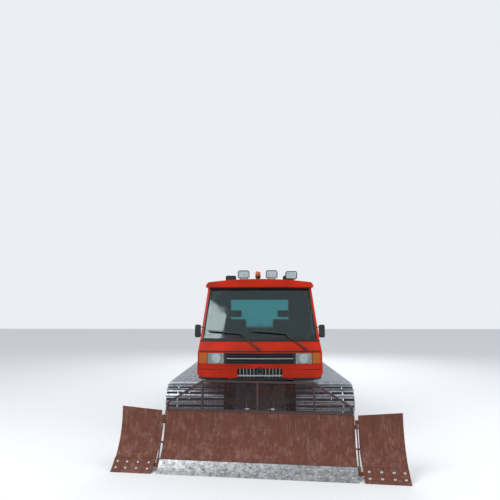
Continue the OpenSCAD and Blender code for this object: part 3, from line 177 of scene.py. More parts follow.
def both(*forms):
    """Forms and their mirror images."""
    form = joined(*forms)
    return joined(form, mirrored(form))


SIDES = (("left", lambda form: form), ("right", mirrored))


def rods(starts, ends, half, sides=4):
    """A straight rod from each start to its end: end + half (cos a n + sin a b), n and b square to it."""
    starts, ends = np.asarray(starts, float)[:, None], np.asarray(ends, float)[:, None]
    way = unit(ends - starts)
    n = unit(np.cross(way, SKEW))
    c, s = (part[:, None] for part in circle(sides, shift=0.5))
    ring = half * (c * n + s * np.cross(way, n))
    p = np.stack([starts + ring, ends + ring], 1)
    faces = grid(p[0], wrap_v=True, ends=True)[1]
    return p.reshape(-1, 3), copied(faces, len(p), 2 * sides)


def inset_outline(outline, g):
    """Anticlockwise outline drawn in by g: corners move by g (n0 + n1) / (1 + n0 . n1), n the normals."""
    o = np.asarray(outline, float)
    e0, e1 = unit(o - np.roll(o, 1, 0)), unit(np.roll(o, -1, 0) - o)
    n0, n1 = np.stack([-e0[:, 1], e0[:, 0]], -1), np.stack([-e1[:, 1], e1[:, 0]], -1)
    return o + g * (n0 + n1) / (1 + (n0 * n1).sum(-1, keepdims=True))


def eased(outline, r, steps=5):
    """Outline with its corners p eased: (1 - t)^2 a + 2 t (1 - t) p + t^2 b, with a and b at r from p."""
    o = np.asarray(outline, float)
    a, b = o + r * unit(np.roll(o, 1, 0) - o), o + r * unit(np.roll(o, -1, 0) - o)
    t = (np.arange(steps + 1) / steps)[None, :, None]
    return ((1 - t) ** 2 * a[:, None] + 2 * t * (1 - t) * o[:, None] + t ** 2 * b[:, None]).reshape(-1, 2)


def rounded_rim(x0, x1, z0, z1, r, steps=5):
    """Closed outline of a rectangle with round corners, as corner centre plus r (cos a, sin a)."""
    corners = []
    for q, (x, z) in enumerate([(x1 - r, z1 - r), (x0 + r, z1 - r), (x0 + r, z0 + r), (x1 - r, z0 + r)]):
        a = np.arange(steps + 1) / steps * math.pi / 2 + q * math.pi / 2
        corners.append(np.stack([x + r * np.cos(a), z + r * np.sin(a)], -1))
    return np.concatenate(corners)


def laid(outline, rows, place):
    """For each row (g, d) the outline drawn in by g and laid at depth d by place(s, t, d)."""
    return np.stack([place(*inset_outline(outline, g).T, d) for g, d in rows])


def framed(outline, rows, place):
    """Ring round an outline, from closed rows (g, d)."""
    return grid(laid(outline, rows, place), wrap_u=True, wrap_v=True)


def slab(outline, rows, place):
    """Closed plate with an outline's shape, from rows (g, d)."""
    return grid(laid(outline, rows, place), wrap_v=True, ends=True)


def on_plane(y, way=1.0):
    """Place that lays (x, z, depth) behind an upright plane at y, or ahead of it where way is -1."""
    return lambda s, t, d: xyz(s, y + way * d, t)


def bolt(radius, height):
    """Hexagon head with a domed top, standing on its foot."""
    return spun([(radius, 0), (radius, height * 0.8), (radius * 0.75, height), (0, height)], sides=6)


def washered(radius, height):
    """Hexagon head on a round washer."""
    washer = spun([(radius * 1.5, 0), (radius * 1.5, height * 0.25), (0, height * 0.25)], sides=16)
    return joined(washer, moved(bolt(radius, height), height * 0.25 * UP))


def new_object(name, data):
    """An object with its data, put into the scene."""
    obj = bpy.data.objects.new(name, data)
    bpy.context.scene.collection.objects.link(obj)
    return obj


def piece(name, form, finish, body="machine", replaces=()):
    """Makes a form into an object: doubles merged, normals outwards, smooth but for edges over 35 degrees."""
    points, faces = form
    mesh = bpy.data.meshes.new(name)
    mesh.from_pydata(points.tolist(), [], [row for f in faces for row in f.tolist()])
    work = bmesh.new()
    work.from_mesh(mesh)
    bmesh.ops.remove_doubles(work, verts=work.verts, dist=2e-6)
    bmesh.ops.recalc_face_normals(work, faces=work.faces)
    work.to_mesh(mesh)
    work.free()
    mesh.shade_smooth()
    mesh.set_sharp_from_angle(angle=math.radians(35))
    mesh.materials.append(finish)
    obj = new_object(name, mesh)
    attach(obj, body)
    if replaces:
        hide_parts(*replaces)
    return obj


# Finishes

COLOUR = {"data_type": "RGBA"}
CLAMPED = {"clamp": True}
MULTIPLY = {"operation": "MULTIPLY"}
MULTIPLY_ADD = {"operation": "MULTIPLY_ADD"}
MAXIMUM = {"operation": "MAXIMUM"}


def linear(code):
    """sRGB hex to linear light: c / 12.92 up to 0.04045, else ((c + 0.055) / 1.055) ^ 2.4."""
    c = np.array([int(code[i:i + 2], 16) for i in (1, 3, 5)]) / 255
    c = np.where(c <= 0.04045, c / 12.92, ((c + 0.055) / 1.055) ** 2.4)
    return (*c.tolist(), 1.0)


def feed(tree, node, *values, **sockets):
    """Feeds a node's sockets, in turn or by name, with values, hex colours, other nodes or their outputs."""
    pairs = list(zip([socket for socket in node.inputs if socket.enabled], values))
    pairs += [(node.inputs[key.replace("_", " ")], value) for key, value in sockets.items()]
    for socket, value in pairs:
        if isinstance(value, bpy.types.Node):
            value = next(output for output in value.outputs if output.enabled)
        if isinstance(value, bpy.types.NodeSocket):
            tree.links.new(value, socket)
        else:
            socket.default_value = linear(value) if isinstance(value, str) else value


def add(tree, kind, props=None, *values, **sockets):
    """Adds a node. props are its settings, and its sockets are fed."""
    made = tree.nodes.new("ShaderNode" + kind)
    for key, value in (props or {}).items():
        setattr(made, key, value)
    feed(tree, made, *values, **sockets)
    return made


def new_finish(name):
    """A material with its node tree, its surface shader and the place of each point."""
    material = bpy.data.materials.new(name)
    material.use_nodes = True
    tree = material.node_tree
    tree.nodes.clear()
    shader = add(tree, "BsdfPrincipled")
    add(tree, "OutputMaterial", {}, shader)
    return material, tree, shader, add(tree, "TexCoord").outputs["Object"]


def per_metre(mm):
    """Pattern scale for a feature of so many millimetres."""
    return 1000.0 / mm


def painted(name, colour, faded, roughness, coat, dirt, dirt_top=1.5, chips=0.3, specular=0.5):
    """Sprayed enamel on sheet steel: clouded fading, orange peel, dirt film thinning with height, chips."""
    material, tree, shader, place = new_finish(name)
    height = add(tree, "SeparateXYZ", Vector=place).outputs[2]
    cloud = add(tree, "TexNoise", Vector=place, Scale=per_metre(420), Detail=4.0, Roughness=0.6)
    bleached = add(tree, "MapRange", CLAMPED, cloud, 0.38, 0.68)
    paint = add(tree, "Mix", COLOUR, bleached, colour, faded)
    spots = add(tree, "TexNoise", Vector=place, Scale=per_metre(45), Detail=8.0, Roughness=0.75)
    low = add(tree, "MapRange", CLAMPED, height, dirt_top, 0.25)
    film = add(tree, "Math", MULTIPLY, low, add(tree, "MapRange", CLAMPED, spots, 0.36, 0.72))
    film = add(tree, "Math", MULTIPLY, film, dirt)
    paint = add(tree, "Mix", COLOUR, film, paint, "#6E655C")
    chip = add(tree, "TexNoise", Vector=place, Scale=per_metre(14), Detail=3.0, Roughness=0.7)
    bared = add(tree, "MapRange", CLAMPED, chip, 0.735, 0.76, 0.0, chips)
    paint = add(tree, "Mix", COLOUR, bared, paint, "#3B2A24")
    rough = add(tree, "MapRange", CLAMPED, spots, 0.3, 0.8, roughness - 0.07, roughness + 0.14)
    caked = add(tree, "MapRange", CLAMPED, film, 0.0, 0.6, 0.0, 0.8)
    rough = add(tree, "Math", MAXIMUM, rough, caked)
    peel = add(tree, "TexNoise", Vector=place, Scale=per_metre(5), Detail=2.0)
    dent = add(tree, "TexNoise", Vector=place, Scale=per_metre(260), Detail=1.0)
    relief = add(tree, "Math", MULTIPLY_ADD, dent, 14.0, peel)
    bump = add(tree, "Bump", Height=relief, Strength=0.12, Distance=0.001)
    feed(tree, shader, Base_Color=paint, Roughness=rough, Normal=bump, Coat_Weight=coat, Coat_Roughness=0.12,
         Specular_IOR_Level=specular)
    return material


def worn_steel(name, bare, dark, rust, rust_from, roughness=0.42, grain_mm=2.5, metallic=0.9, streaks=0.0):
    """Rolled or cast steel: mill grain, scuffed bright patches, darker oxide, rust where noise passes a
    level, and upright streaks from a noise drawn out eightfold along z."""
    material, tree, shader, place = new_finish(name)
    scuff = add(tree, "TexNoise", Vector=place, Scale=per_metre(60), Detail=9.0, Roughness=0.7)
    rubbed = add(tree, "MapRange", CLAMPED, scuff, 0.35, 0.62)
    metal = add(tree, "Mix", COLOUR, rubbed, dark, bare)
    patch = add(tree, "TexNoise", Vector=place, Scale=per_metre(170), Detail=7.0, Roughness=0.65)
    rusty = add(tree, "MapRange", CLAMPED, patch, rust_from, rust_from + 0.1)
    grain = add(tree, "TexNoise", Vector=place, Scale=per_metre(grain_mm), Detail=3.0)
    grainy = add(tree, "Mix", COLOUR, add(tree, "MapRange", CLAMPED, grain, 0.3, 0.7), rust, "#3E241A")
    colour = add(tree, "Mix", COLOUR, rusty, metal, grainy)
    drawn = add(tree, "Mapping", Vector=place, Scale=(1.0, 1.0, 0.125))
    run = add(tree, "TexNoise", Vector=drawn, Scale=per_metre(38), Detail=6.0, Roughness=0.7)
    stained = add(tree, "MapRange", CLAMPED, run, 0.50, 0.72, 0.0, streaks)
    washed = add(tree, "MapRange", CLAMPED, run, 0.28, 0.46, streaks * 0.8, 0.0)
    colour = add(tree, "Mix", COLOUR, stained, colour, dark)
    colour = add(tree, "Mix", COLOUR, washed, colour, "#8A6A5C")
    pits = add(tree, "Math", MULTIPLY_ADD, patch, 3.0, grain)
    bump = add(tree, "Bump", Height=pits, Strength=0.35, Distance=0.0012)
    rough = add(tree, "MapRange", CLAMPED, rusty, 0.0, 1.0, roughness, 0.85)
    bright = add(tree, "MapRange", CLAMPED, rusty, 0.0, 1.0, metallic, 0.1)
    feed(tree, shader, Base_Color=colour, Roughness=rough, Metallic=bright, Normal=bump)
    return material


def rubber(name, colour, dust, grain_mm, roughness=0.78):
    """Moulded rubber: a fine grain from the mould, and scuffs that show grey and a little rougher."""
    material, tree, shader, place = new_finish(name)
    scuff = add(tree, "TexNoise", Vector=place, Scale=per_metre(35), Detail=8.0, Roughness=0.75)
    scuffed = add(tree, "MapRange", CLAMPED, scuff, 0.45, 0.75, 0.0, 0.7)
    tone = add(tree, "Mix", COLOUR, scuffed, colour, dust)
    grain = add(tree, "TexNoise", Vector=place, Scale=per_metre(grain_mm), Detail=2.0)
    bump = add(tree, "Bump", Height=grain, Strength=0.3, Distance=0.0006)
    rough = add(tree, "MapRange", CLAMPED, scuff, 0.3, 0.8, roughness - 0.12, roughness + 0.1)
    feed(tree, shader, Base_Color=tone, Roughness=rough, Normal=bump, Specular_IOR_Level=0.35)
    return material


def moulded(name, colour, grain_mm=1.2, roughness=0.5, wear="#3A3B3D"):
    """Injection-moulded ABS: leather-like spark-eroded grain from cells, with paler rubbed patches."""
    material, tree, shader, place = new_finish(name)
    cells = add(tree, "TexVoronoi", Vector=place, Scale=per_metre(grain_mm))
    rub = add(tree, "TexNoise", Vector=place, Scale=per_metre(90), Detail=6.0, Roughness=0.65)
    rubbed = add(tree, "MapRange", CLAMPED, rub, 0.5, 0.75, 0.0, 0.6)
    tone = add(tree, "Mix", COLOUR, rubbed, colour, wear)
    bump = add(tree, "Bump", Height=cells, Strength=0.25, Distance=0.0005)
    rough = add(tree, "MapRange", CLAMPED, rub, 0.3, 0.7, roughness - 0.08, roughness + 0.1)
    feed(tree, shader, Base_Color=tone, Roughness=rough, Normal=bump)
    return material


def glazing(name, tint):
    """Toughened glass tinted in the mass: clear through, rougher where a faint film of dust lies."""
    material, tree, shader, place = new_finish(name)
    film = add(tree, "TexNoise", Vector=place, Scale=per_metre(180), Detail=6.0, Roughness=0.7)
    rough = add(tree, "MapRange", CLAMPED, film, 0.45, 0.75, 0.03, 0.16)
    feed(tree, shader, Base_Color=tint, Roughness=rough, Transmission_Weight=1.0, IOR=1.5)
    return material


def lens(name, tint, roughness, transmission=0.9):
    """Pressed glass or moulded acrylic of a lamp: clear body, slight haze from fine scratches."""
    material, tree, shader, place = new_finish(name)
    haze = add(tree, "TexNoise", Vector=place, Scale=per_metre(12), Detail=5.0, Roughness=0.7)
    bump = add(tree, "Bump", Height=haze, Strength=0.05, Distance=0.0005)
    rough = add(tree, "MapRange", CLAMPED, haze, 0.4, 0.8, roughness, roughness + 0.15)
    feed(tree, shader, Base_Color=tint, Roughness=rough, Normal=bump, IOR=1.49,
         Transmission_Weight=transmission)
    return material


def plated(name, colour, roughness):
    """Plated or polished metal: mirror body with hazy patches and fine polishing marks."""
    material, tree, shader, place = new_finish(name)
    haze = add(tree, "TexNoise", Vector=place, Scale=per_metre(50), Detail=6.0, Roughness=0.7)
    marks = add(tree, "TexNoise", Vector=place, Scale=per_metre(3), Detail=2.0)
    bump = add(tree, "Bump", Height=marks, Strength=0.06, Distance=0.0003)
    rough = add(tree, "MapRange", CLAMPED, haze, 0.3, 0.8, roughness, roughness + 0.2)
    feed(tree, shader, Base_Color=colour, Metallic=1.0, Roughness=rough, Normal=bump)
    return material


def woven(name, yarn, shadow):
    """Flat-woven seat cloth: two sets of crossed 3 mm threads from sine waves, coarser than real ones."""
    material, tree, shader, place = new_finish(name)
    warp, weft = (add(tree, "TexWave", {"bands_direction": way}, Vector=place, Scale=per_metre(3) / 6.3,
                      Distortion=0.4) for way in ("X", "DIAGONAL"))
    cloth = add(tree, "Math", MULTIPLY, warp, weft)
    rub = add(tree, "TexNoise", Vector=place, Scale=per_metre(80), Detail=5.0)
    rubbed = add(tree, "MapRange", CLAMPED, rub, 0.5, 0.8, 0.0, 0.4)
    threads = add(tree, "Mix", COLOUR, cloth, shadow, yarn)
    tone = add(tree, "Mix", COLOUR, rubbed, threads, "#4A4C52")
    bump = add(tree, "Bump", Height=cloth, Strength=0.5, Distance=0.0012)
    feed(tree, shader, Base_Color=tone, Roughness=0.9, Normal=bump, Sheen_Weight=0.4, Sheen_Roughness=0.5)
    return material


# Sprayed orange-red enamel on pressed sheet: glossy, sun-faded in clouds, with dried dirt low down
red_enamel = painted("red_enamel_on_sheet_steel", "#B82000", "#942006", roughness=0.36, coat=0.06, dirt=0.4,
                     specular=0.16)
# Brushed-on chassis enamel: near black, semi-matt, thick enough to round the edges
chassis_enamel = painted("black_chassis_enamel", "#1B1C1E", "#2A2B2D", roughness=0.5, coat=0.1, dirt=0.8,
                         dirt_top=1.3, chips=0.5)
# Wheel enamel: light grey, chipped by stones
wheel_enamel = painted("grey_wheel_enamel", "#83868A", "#6E7175", roughness=0.45, coat=0.2, dirt=0.9,
                       dirt_top=1.0, chips=0.6)
# Deep maroon frame paint of the mesh screen, matt with age
screen_enamel = painted("maroon_frame_enamel", "#3A2024", "#2A1A1E", roughness=0.6, coat=0.0, dirt=0.5,
                        dirt_top=1.3, chips=0.8)
# Blade plate: red-brown rust over old paint, rubbed in streaks by use
blade_steel = worn_steel("rusted_blade_plate", "#7A4A3C", "#4C2A24", "#7B4432", roughness=0.6, rust_from=0.42,
                         metallic=0.25, streaks=0.75)
# Hardened cutting edge, rubbed bright
edge_steel = worn_steel("hardened_edge_steel", "#A5A7AA", "#6B6A6B", "#6A4332", rust_from=0.6)
# Extruded aluminium cross bars with steel cleats, scuffed to a dull shine
bar_metal = worn_steel("scuffed_bar_aluminium", "#B4B8BE", "#7F848B", "#5C5048", roughness=0.38,
                       rust_from=0.66)
# Cast iron of sprocket, rotor and hubs, oxidised dark in its rough skin
cast_iron = worn_steel("cast_iron", "#6A6C70", "#46484C", "#5A3A2C", roughness=0.55, rust_from=0.58,
                       grain_mm=3.5)
# Galvanised mesh wire gone dull under a red-brown film
mesh_wire = worn_steel("dull_mesh_wire", "#4A3A40", "#33262B", "#5A3327", roughness=0.6, rust_from=0.5,
                       metallic=0.4)
# Sand-cast aluminium of covers and cooler, dulled by oil mist
cast_aluminium = worn_steel("dull_cast_aluminium", "#8E9194", "#6A6D70", "#4A4640", roughness=0.5,
                            rust_from=0.7, grain_mm=2.0)
# Machined gland nuts, oiled and stained
gland_steel = worn_steel("oiled_gland_steel", "#5A5C60", "#2E2F32", "#4A3024", roughness=0.4, rust_from=0.66)
# Metals with a mirror body: hard chrome of rods, zinc of bolts, vapour-coated reflectors, bright anodised
# trim, heat-stained stainless tube and silvered glass
hard_chrome = plated("hard_chrome_rod", "#D5D7DA", 0.12)
zinc = plated("zinc_plated_steel", "#9FA09C", 0.34)
reflector = plated("aluminised_reflector", "#E8EAEC", 0.06)
trim_metal = plated("anodised_trim", "#C9CCD0", 0.22)
stainless = plated("heat_stained_stainless", "#9C8F80", 0.3)
mirror_glass = plated("silvered_mirror_glass", "#DDE1E3", 0.02)
# Rubber, from the solid tyres and the fabric-reinforced belts to extruded seals and the moulded mat: all
# matt, the belts and the mat with a coarser grain
tyre_rubber = rubber("solid_tyre_rubber", "#141415", "#4A4744", 2.5)
belt_rubber = rubber("fabric_reinforced_belt_rubber", "#1A1A1C", "#55524E", 3.0)
seal_rubber = rubber("extruded_seal_rubber", "#0C0C0D", "#232324", 1.0, roughness=0.6)
mat_rubber = rubber("moulded_finisher_rubber", "#19191B", "#5A5855", 4.0)
# Grained plastics outside and on the dash, smoother lamp housings, felt-faced liner board, printed dial marks
black_plastic = moulded("grained_black_plastic", "#101113")
dash_plastic = moulded("grained_dash_plastic", "#1D1E20", grain_mm=2.0, roughness=0.6)
lamp_inner = moulded("dark_lamp_housing", "#24332E", roughness=0.3, wear="#3B4A45")
liner_board = moulded("felt_liner_board", "#3A3C40", grain_mm=3.0, roughness=0.85, wear="#4B4D52")
mark_white = moulded("printed_white_marks", "#D8D9D4", roughness=0.6, wear="#BFC0BA")
# Panes tinted teal, a near-black display, pressed lamp glass, and acrylic lenses with some milkiness
tinted_glass = glazing("teal_tinted_glass", "#70B2B6")
dark_screen = glazing("dark_display_glass", "#0E1214")
lamp_glass = lens("pressed_lamp_glass", "#F2F7F8", 0.03)
amber_acrylic = lens("amber_acrylic", "#E27C08", 0.12, transmission=0.6)
red_acrylic = lens("red_acrylic", "#C81A12", 0.12, transmission=0.7)
# Dark flat-woven cloth of the seats
seat_cloth = woven("woven_seat_cloth", "#2C2F36", "#101216")

# For each finish a slot name, and the frame's nodes that it covers
FINISHES = [
    (red_enamel, "red_paint", ["bumper", "nose_panel", "cab_frame", "roof", "engine_bay", "load_bed",
                               "door_left", "door_right", "engine_hood", "tiller_housing"]),
    (chassis_enamel, "frame_paint", ["chassis_frame", "wheel_arms", "cab_floor", "lift_frame", "swivel_head",
                                     "rear_frame", "lift_barrels", "yaw_barrel_left", "yaw_barrel_right",
                                     "tilt_barrel", "wing_barrel_left", "wing_barrel_right", "rear_barrels"]),
    (wheel_enamel, "rim_paint", ["rims"]),
    (screen_enamel, "mesh_paint", ["blade_screen"]),
    (cast_iron, "track_steel", ["sprockets", "engine_block", "tiller_rotor"]),
    (blade_steel, "rusty_steel", ["blade", "wing_left", "wing_right"]),
    (edge_steel, "track_steel", ["cutting_edge"]),
    (bar_metal, "track_steel", []),
    (mesh_wire, "mesh_paint", []),
    (cast_aluminium, "engine_iron", []),
    (gland_steel, "frame_paint", []),
    (hard_chrome, "chrome_rod", ["lift_rods", "yaw_rod_left", "yaw_rod_right", "tilt_rod", "wing_rod_left",
                                 "wing_rod_right", "rear_rods"]),
    (zinc, "chrome_rod", []),
    (reflector, "chrome_rod", []),
    (mirror_glass, "chrome_rod", []),
    (trim_metal, "pale_metal", ["intake_bars"]),
    (stainless, "track_steel", ["exhaust"]),
    (tyre_rubber, "tyre", ["tyres"]),
    (belt_rubber, "rubber", ["track_left", "track_right"]),
    (seal_rubber, "rubber", ["window_seals"]),
    (mat_rubber, "rubber", ["finisher"]),
    (black_plastic, "black_plastic", ["grille", "mirrors", "wipers", "roof_lamps"]),
    (dash_plastic, "black_plastic", ["dash"]),
    (lamp_inner, "black_plastic", []),
    (liner_board, "black_plastic", []),
    (dark_screen, "black_plastic", []),
    (mark_white, "lamp_glass", []),
    (tinted_glass, "screen_glass", ["windscreen", "cab_glass", "door_glass_left", "door_glass_right"]),
    (lamp_glass, "lamp_glass", ["headlamps"]),
    (amber_acrylic, "amber_lens", ["indicators", "beacon"]),
    (red_acrylic, "red_lens", ["tail_lamps"]),
    (seat_cloth, "seat_fabric", ["seats"]),
]
for finish, _, names in FINISHES:
    for name in names:
        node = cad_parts[name]
        if not node.material_slots:
            node.data.materials.append(finish)
        for slot in node.material_slots:
            slot.material = finish


# Tracks: the belts run over circles (y, z, radius), in order round the loop

LOOP = np.array([[1.18, 0.346, 0.28], [1.784, 0.604, 0.28], [-1.784, 0.614, 0.27], [-1.18, 0.346, 0.28]])
TRACK_X = (0.65, 1.70)
WHEEL_X = 1.175
BELT_T = 0.016
BAR_H = 0.050
BAR_PITCH = 0.112
BELT_BANDS = [(0.655, 0.845), (0.865, 1.055), (1.075, 1.275), (1.295, 1.485), (1.505, 1.695)]
SPROCKET_AT = LOOP[1, :2]
SPROCKET_REACH = 0.32
TEETH = 17
# The guides of each bar stand either side of the wheels, and the sprocket's two discs have their teeth here
GUIDE_X = WHEEL_X + 0.1125 * np.array([-1, 1])
TOOTH_X = (1.065, 1.285)


def loop_at(offset, pitch=None, count=0):
    """Points and normals at even steps round the belt: arcs of radius r + offset joined by tangent runs."""
    c, r = LOOP[:, :2], LOOP[:, 2]
    d = np.roll(c, -1, 0) - c
    run = np.arctan2(d[:, 1], d[:, 0]) - np.arccos((r - np.roll(r, -1)) / np.linalg.norm(d, axis=1))
    before = np.roll(run, 1)
    ray = np.stack([np.cos(run), np.sin(run)], -1)
    start = c + (r + offset)[:, None] * ray
    end = np.roll(c, -1, 0) + (np.roll(r, -1) + offset)[:, None] * ray
    arc_len = np.mod(run - before, TAU) * (r + offset)
    run_len = np.linalg.norm(end - start, axis=1)
    marks = np.concatenate([[0], np.cumsum(np.stack([arc_len, run_len], -1))])
    count = count or round(marks[-1] / pitch)
    s = np.arange(count) / count * marks[-1]
    k = np.clip(np.searchsorted(marks, s, side="right") - 1, 0, 2 * len(c) - 1)
    i, on_arc, along = k // 2, k % 2 == 0, s - marks[k]
    angle = np.where(on_arc, before[i] + along / (r[i] + offset), run[i])
    normal = np.stack([np.cos(angle), np.sin(angle)], -1)
    on_run = start[i] + (along / run_len[i])[:, None] * (end - start)[i]
    point = np.where(on_arc[:, None], c[i] + (r[i] + offset)[:, None] * normal, on_run)
    return xyz(0, *point.T), xyz(0, *normal.T)


def track_belts():
    """Each belt is a rounded strip carried round the loop's inner face, its edges moulded thinner."""
    path, normal = loop_at(0.0003, count=260)
    forms = []
    for x0, x1 in BELT_BANDS:
        rim = np.array([(x0, 0.004), (x0 + 0.004, 0), (x1 - 0.004, 0), (x1, 0.004), (x1, BELT_T - 0.004),
                        (x1 - 0.006, BELT_T), (x0 + 0.006, BELT_T), (x0, BELT_T - 0.004)])
        strip = path[:, None] + rim[:, :1] * ACROSS + rim[:, 1:] * normal[:, None]
        forms.append(grid(strip, wrap_u=True, wrap_v=True))
    return joined(*forms)


def track_bar():
    """A flanged cleat profile carried across all belts and pressed down at both ends."""
    x0, x1 = TRACK_X
    profile = np.array([(-0.036, 0.0005), (0.036, 0.0005), (0.036, 0.008), (0.014, 0.012), (0.008, 0.030),
                        (0.006, BAR_H), (-0.006, BAR_H), (-0.008, 0.030), (-0.014, 0.012), (-0.036, 0.008)])
    stations = np.array([x0, x0 + 0.035, x1 - 0.035, x1])[:, None]
    squeeze = np.array([0.45, 1.0, 1.0, 0.45])[:, None]
    return grid(xyz(stations, profile[:, 0], profile[:, 1] * squeeze), wrap_v=True, ends=True)


def sprocket_teeth(bar_at):
    """Teeth between the bars that lie on the sprocket: the middle one of those bars sets the turn."""
    near = bar_at - SPROCKET_AT
    near = near[np.hypot(*near.T) < SPROCKET_REACH]
    middle = np.sort(np.arctan2(near[:, 1], near[:, 0]))[len(near) // 2]
    turn = middle + (np.arange(TEETH) + 0.5) / TEETH * TAU
    tooth = soft_box((-0.007, 0.007), (-0.013, 0.013), (0.262, 0.312), 0.004, 2)
    return joined(*[stood(tooth, (x, *SPROCKET_AT), xyz(0, np.cos(turn), np.sin(turn))) for x in TOOTH_X])


bar_places = stands(*loop_at(BELT_T, BAR_PITCH))
bolt_x = np.array([(a + b) / 2 + s * (b - a) * 0.3 for a, b in BELT_BANDS for s in (-1, 1)])
guide = soft_box((-0.03, 0.03), (-0.022, 0.022), (-0.052, 0.002), 0.008, 2)
belts = track_belts()
bars = repeated(track_bar(), bar_places)
track_bolts = repeated(stood(bolt(0.008, 0.008), xyz(bolt_x, 0.025, 0.008)), bar_places)
guides = repeated(stood(guide, xyz(GUIDE_X, 0, 0)), stands(*loop_at(0.0, BAR_PITCH)))
piece("sprocket_teeth", both(sprocket_teeth(bar_places[:, 1:3, 3])), cast_iron)
for side, flip in SIDES:
    piece(f"track_belts_{side}", flip(belts), belt_rubber, replaces=(f"track_{side}",))
    piece(f"track_bars_{side}", flip(bars), bar_metal)
    piece(f"track_bolts_{side}", flip(track_bolts), zinc)
    piece(f"track_guides_{side}", flip(guides), belt_rubber)


# Bowed front: rows of (height, distance of the middle line from mid-length)

FRONT_ROWS = np.array([[1.0, 2.640], [1.545, 2.640], [1.735, 2.505], [2.690, 2.050], [2.9, 2.050]])
BOW_R = 6.0
BOW_Y = -2.640 + BOW_R


def front_y(x, z, inset=0.0):
    """y of the bowed front: bow centre minus sqrt(r(z)^2 - x^2), r falling with height and with the inset."""
    r = BOW_Y + np.interp(z, FRONT_ROWS[:, 0], FRONT_ROWS[:, 1]) - 1.1 * inset
    return BOW_Y - np.sqrt(r * r - np.asarray(x) ** 2)


def on_front(s, t, d):
    """Place that lays (x, z, depth) on the bowed front."""
    return xyz(s, front_y(s, t) + d, t)


# Lamps of the front band

def rings(outline, shares):
    """Copies of an outline drawn in towards its middle by each share, with 0 the rim and 1 the middle."""
    s = shares[:, None, None]
    return outline * (1 - s) + outline.mean(0) * s


def fluted_lens(rim, place, pitch, flute, along=0, thick=0.003):
    """Lens: rings from the rim to the middle pushed out by a bulge and by flute |sin(pi s / pitch)|, closed
    behind."""
    shares = np.array([0.0, 0.05, 0.1, 0.2, 0.3, 0.4, 0.5, 0.6, 0.7, 0.8, 0.9, 0.999])
    flat = rings(rim, shares)
    x, z = flat[..., 0], flat[..., 1]
    bulge = 0.001 * np.sqrt(np.clip(1 - (1 - shares * 4) ** 2 * (shares < 0.25), 0, 1))[:, None]
    out = bulge + (shares >= 0.1)[:, None] * flute * np.abs(np.sin(flat[..., along] * math.pi / pitch))
    return grid(np.concatenate([place(x, z, -out), place(x, z, thick - bulge)[::-1]]), wrap_v=True, ends=True)


def lamp_bowl(rim, place, depth, near=0.010, facets=0, cut=0.0):
    """Reflector: near + depth (1 - rho^2) behind the rim, rho from 1 there to 0 in the middle, with radial
    facets cut by cut |sin(facets a / 2)| rho."""
    shares = np.linspace(0.0, 0.995, 14)
    flat = rings(rim, shares)
    x, z = flat[..., 0], flat[..., 1]
    facet = cut * np.abs(np.sin(np.arange(len(rim)) / len(rim) * math.pi * facets))
    rho = (1 - shares)[:, None]
    deep = near + depth * (1 - rho ** 2) + rho * facet
    return grid(np.concatenate([place(x, z, deep), place(x, z, deep + 0.002)[::-1]]), wrap_v=True, ends=True)


LAMP_Z = (1.352, 1.530)
HEADLAMP_X = (0.609, 0.892)
INDICATOR_X = (0.901, 1.044)
BEZEL = [(0, 0.006), (0, 0.002), (0.006, 0.002), (0.006, 0.034), (0, 0.034)]
LAMP_BACK = [(0.006, 0.032), (0.006, 0.044), (0.030, 0.070), (0.045, 0.074)]
LAMP_MIDDLE = np.array([0.750, 1.441])


def lamp_rim(span, g=0.0):
    """Rounded outline of a lamp of the front band, drawn in by g."""
    return rounded_rim(span[0] + g, span[1] - g, LAMP_Z[0] + g, LAMP_Z[1] - g, 0.012, 6)


headlamp, indicator = lamp_rim(HEADLAMP_X), lamp_rim(INDICATOR_X)
round_rim = LAMP_MIDDLE + np.stack(circle(96, 0.078), -1)
bulb_foot = on_front(*LAMP_MIDDLE, 0.046)
bulb = spun([(0, -0.004), (0.014, -0.004), (0.014, 0.006), (0.008, 0.010), (0.008, 0.024), (0.005, 0.029),
             (0, 0.030)], bulb_foot, -REAR, 20)
bulb_cap = spun([(0, 0.024), (0.0095, 0.024), (0.0095, 0.031), (0.004, 0.034), (0, 0.034)], bulb_foot, -REAR,
                20)
piece("headlamp_lenses", both(fluted_lens(headlamp, on_front, 0.020, 0.0020)), lamp_glass,
      replaces=("headlamps",))
piece("headlamp_housings", both(lamp_bowl(lamp_rim(HEADLAMP_X, 0.004), on_front, 0.016, 0.020)), lamp_inner)
piece("lamp_backs", both(*[slab(rim, LAMP_BACK, on_front) for rim in (headlamp, indicator)]), black_plastic)
piece("headlamp_bowls", both(lamp_bowl(round_rim, on_front, 0.028, 0.012, 16, 0.004)), reflector)
piece("headlamp_bezels", both(*[framed(rim, BEZEL, on_front) for rim in (headlamp, indicator)]),
      black_plastic)
piece("headlamp_bulbs", both(bulb), lamp_glass)
piece("headlamp_bulb_caps", both(bulb_cap), reflector)
piece("indicator_lenses", both(fluted_lens(indicator, on_front, 0.010, 0.0014)), amber_acrylic,
      replaces=("indicators",))
piece("indicator_bowls", both(lamp_bowl(lamp_rim(INDICATOR_X, 0.004), on_front, 0.022)), reflector)


# Front coupling in the round socket of the bumper, and the bumper's bolts

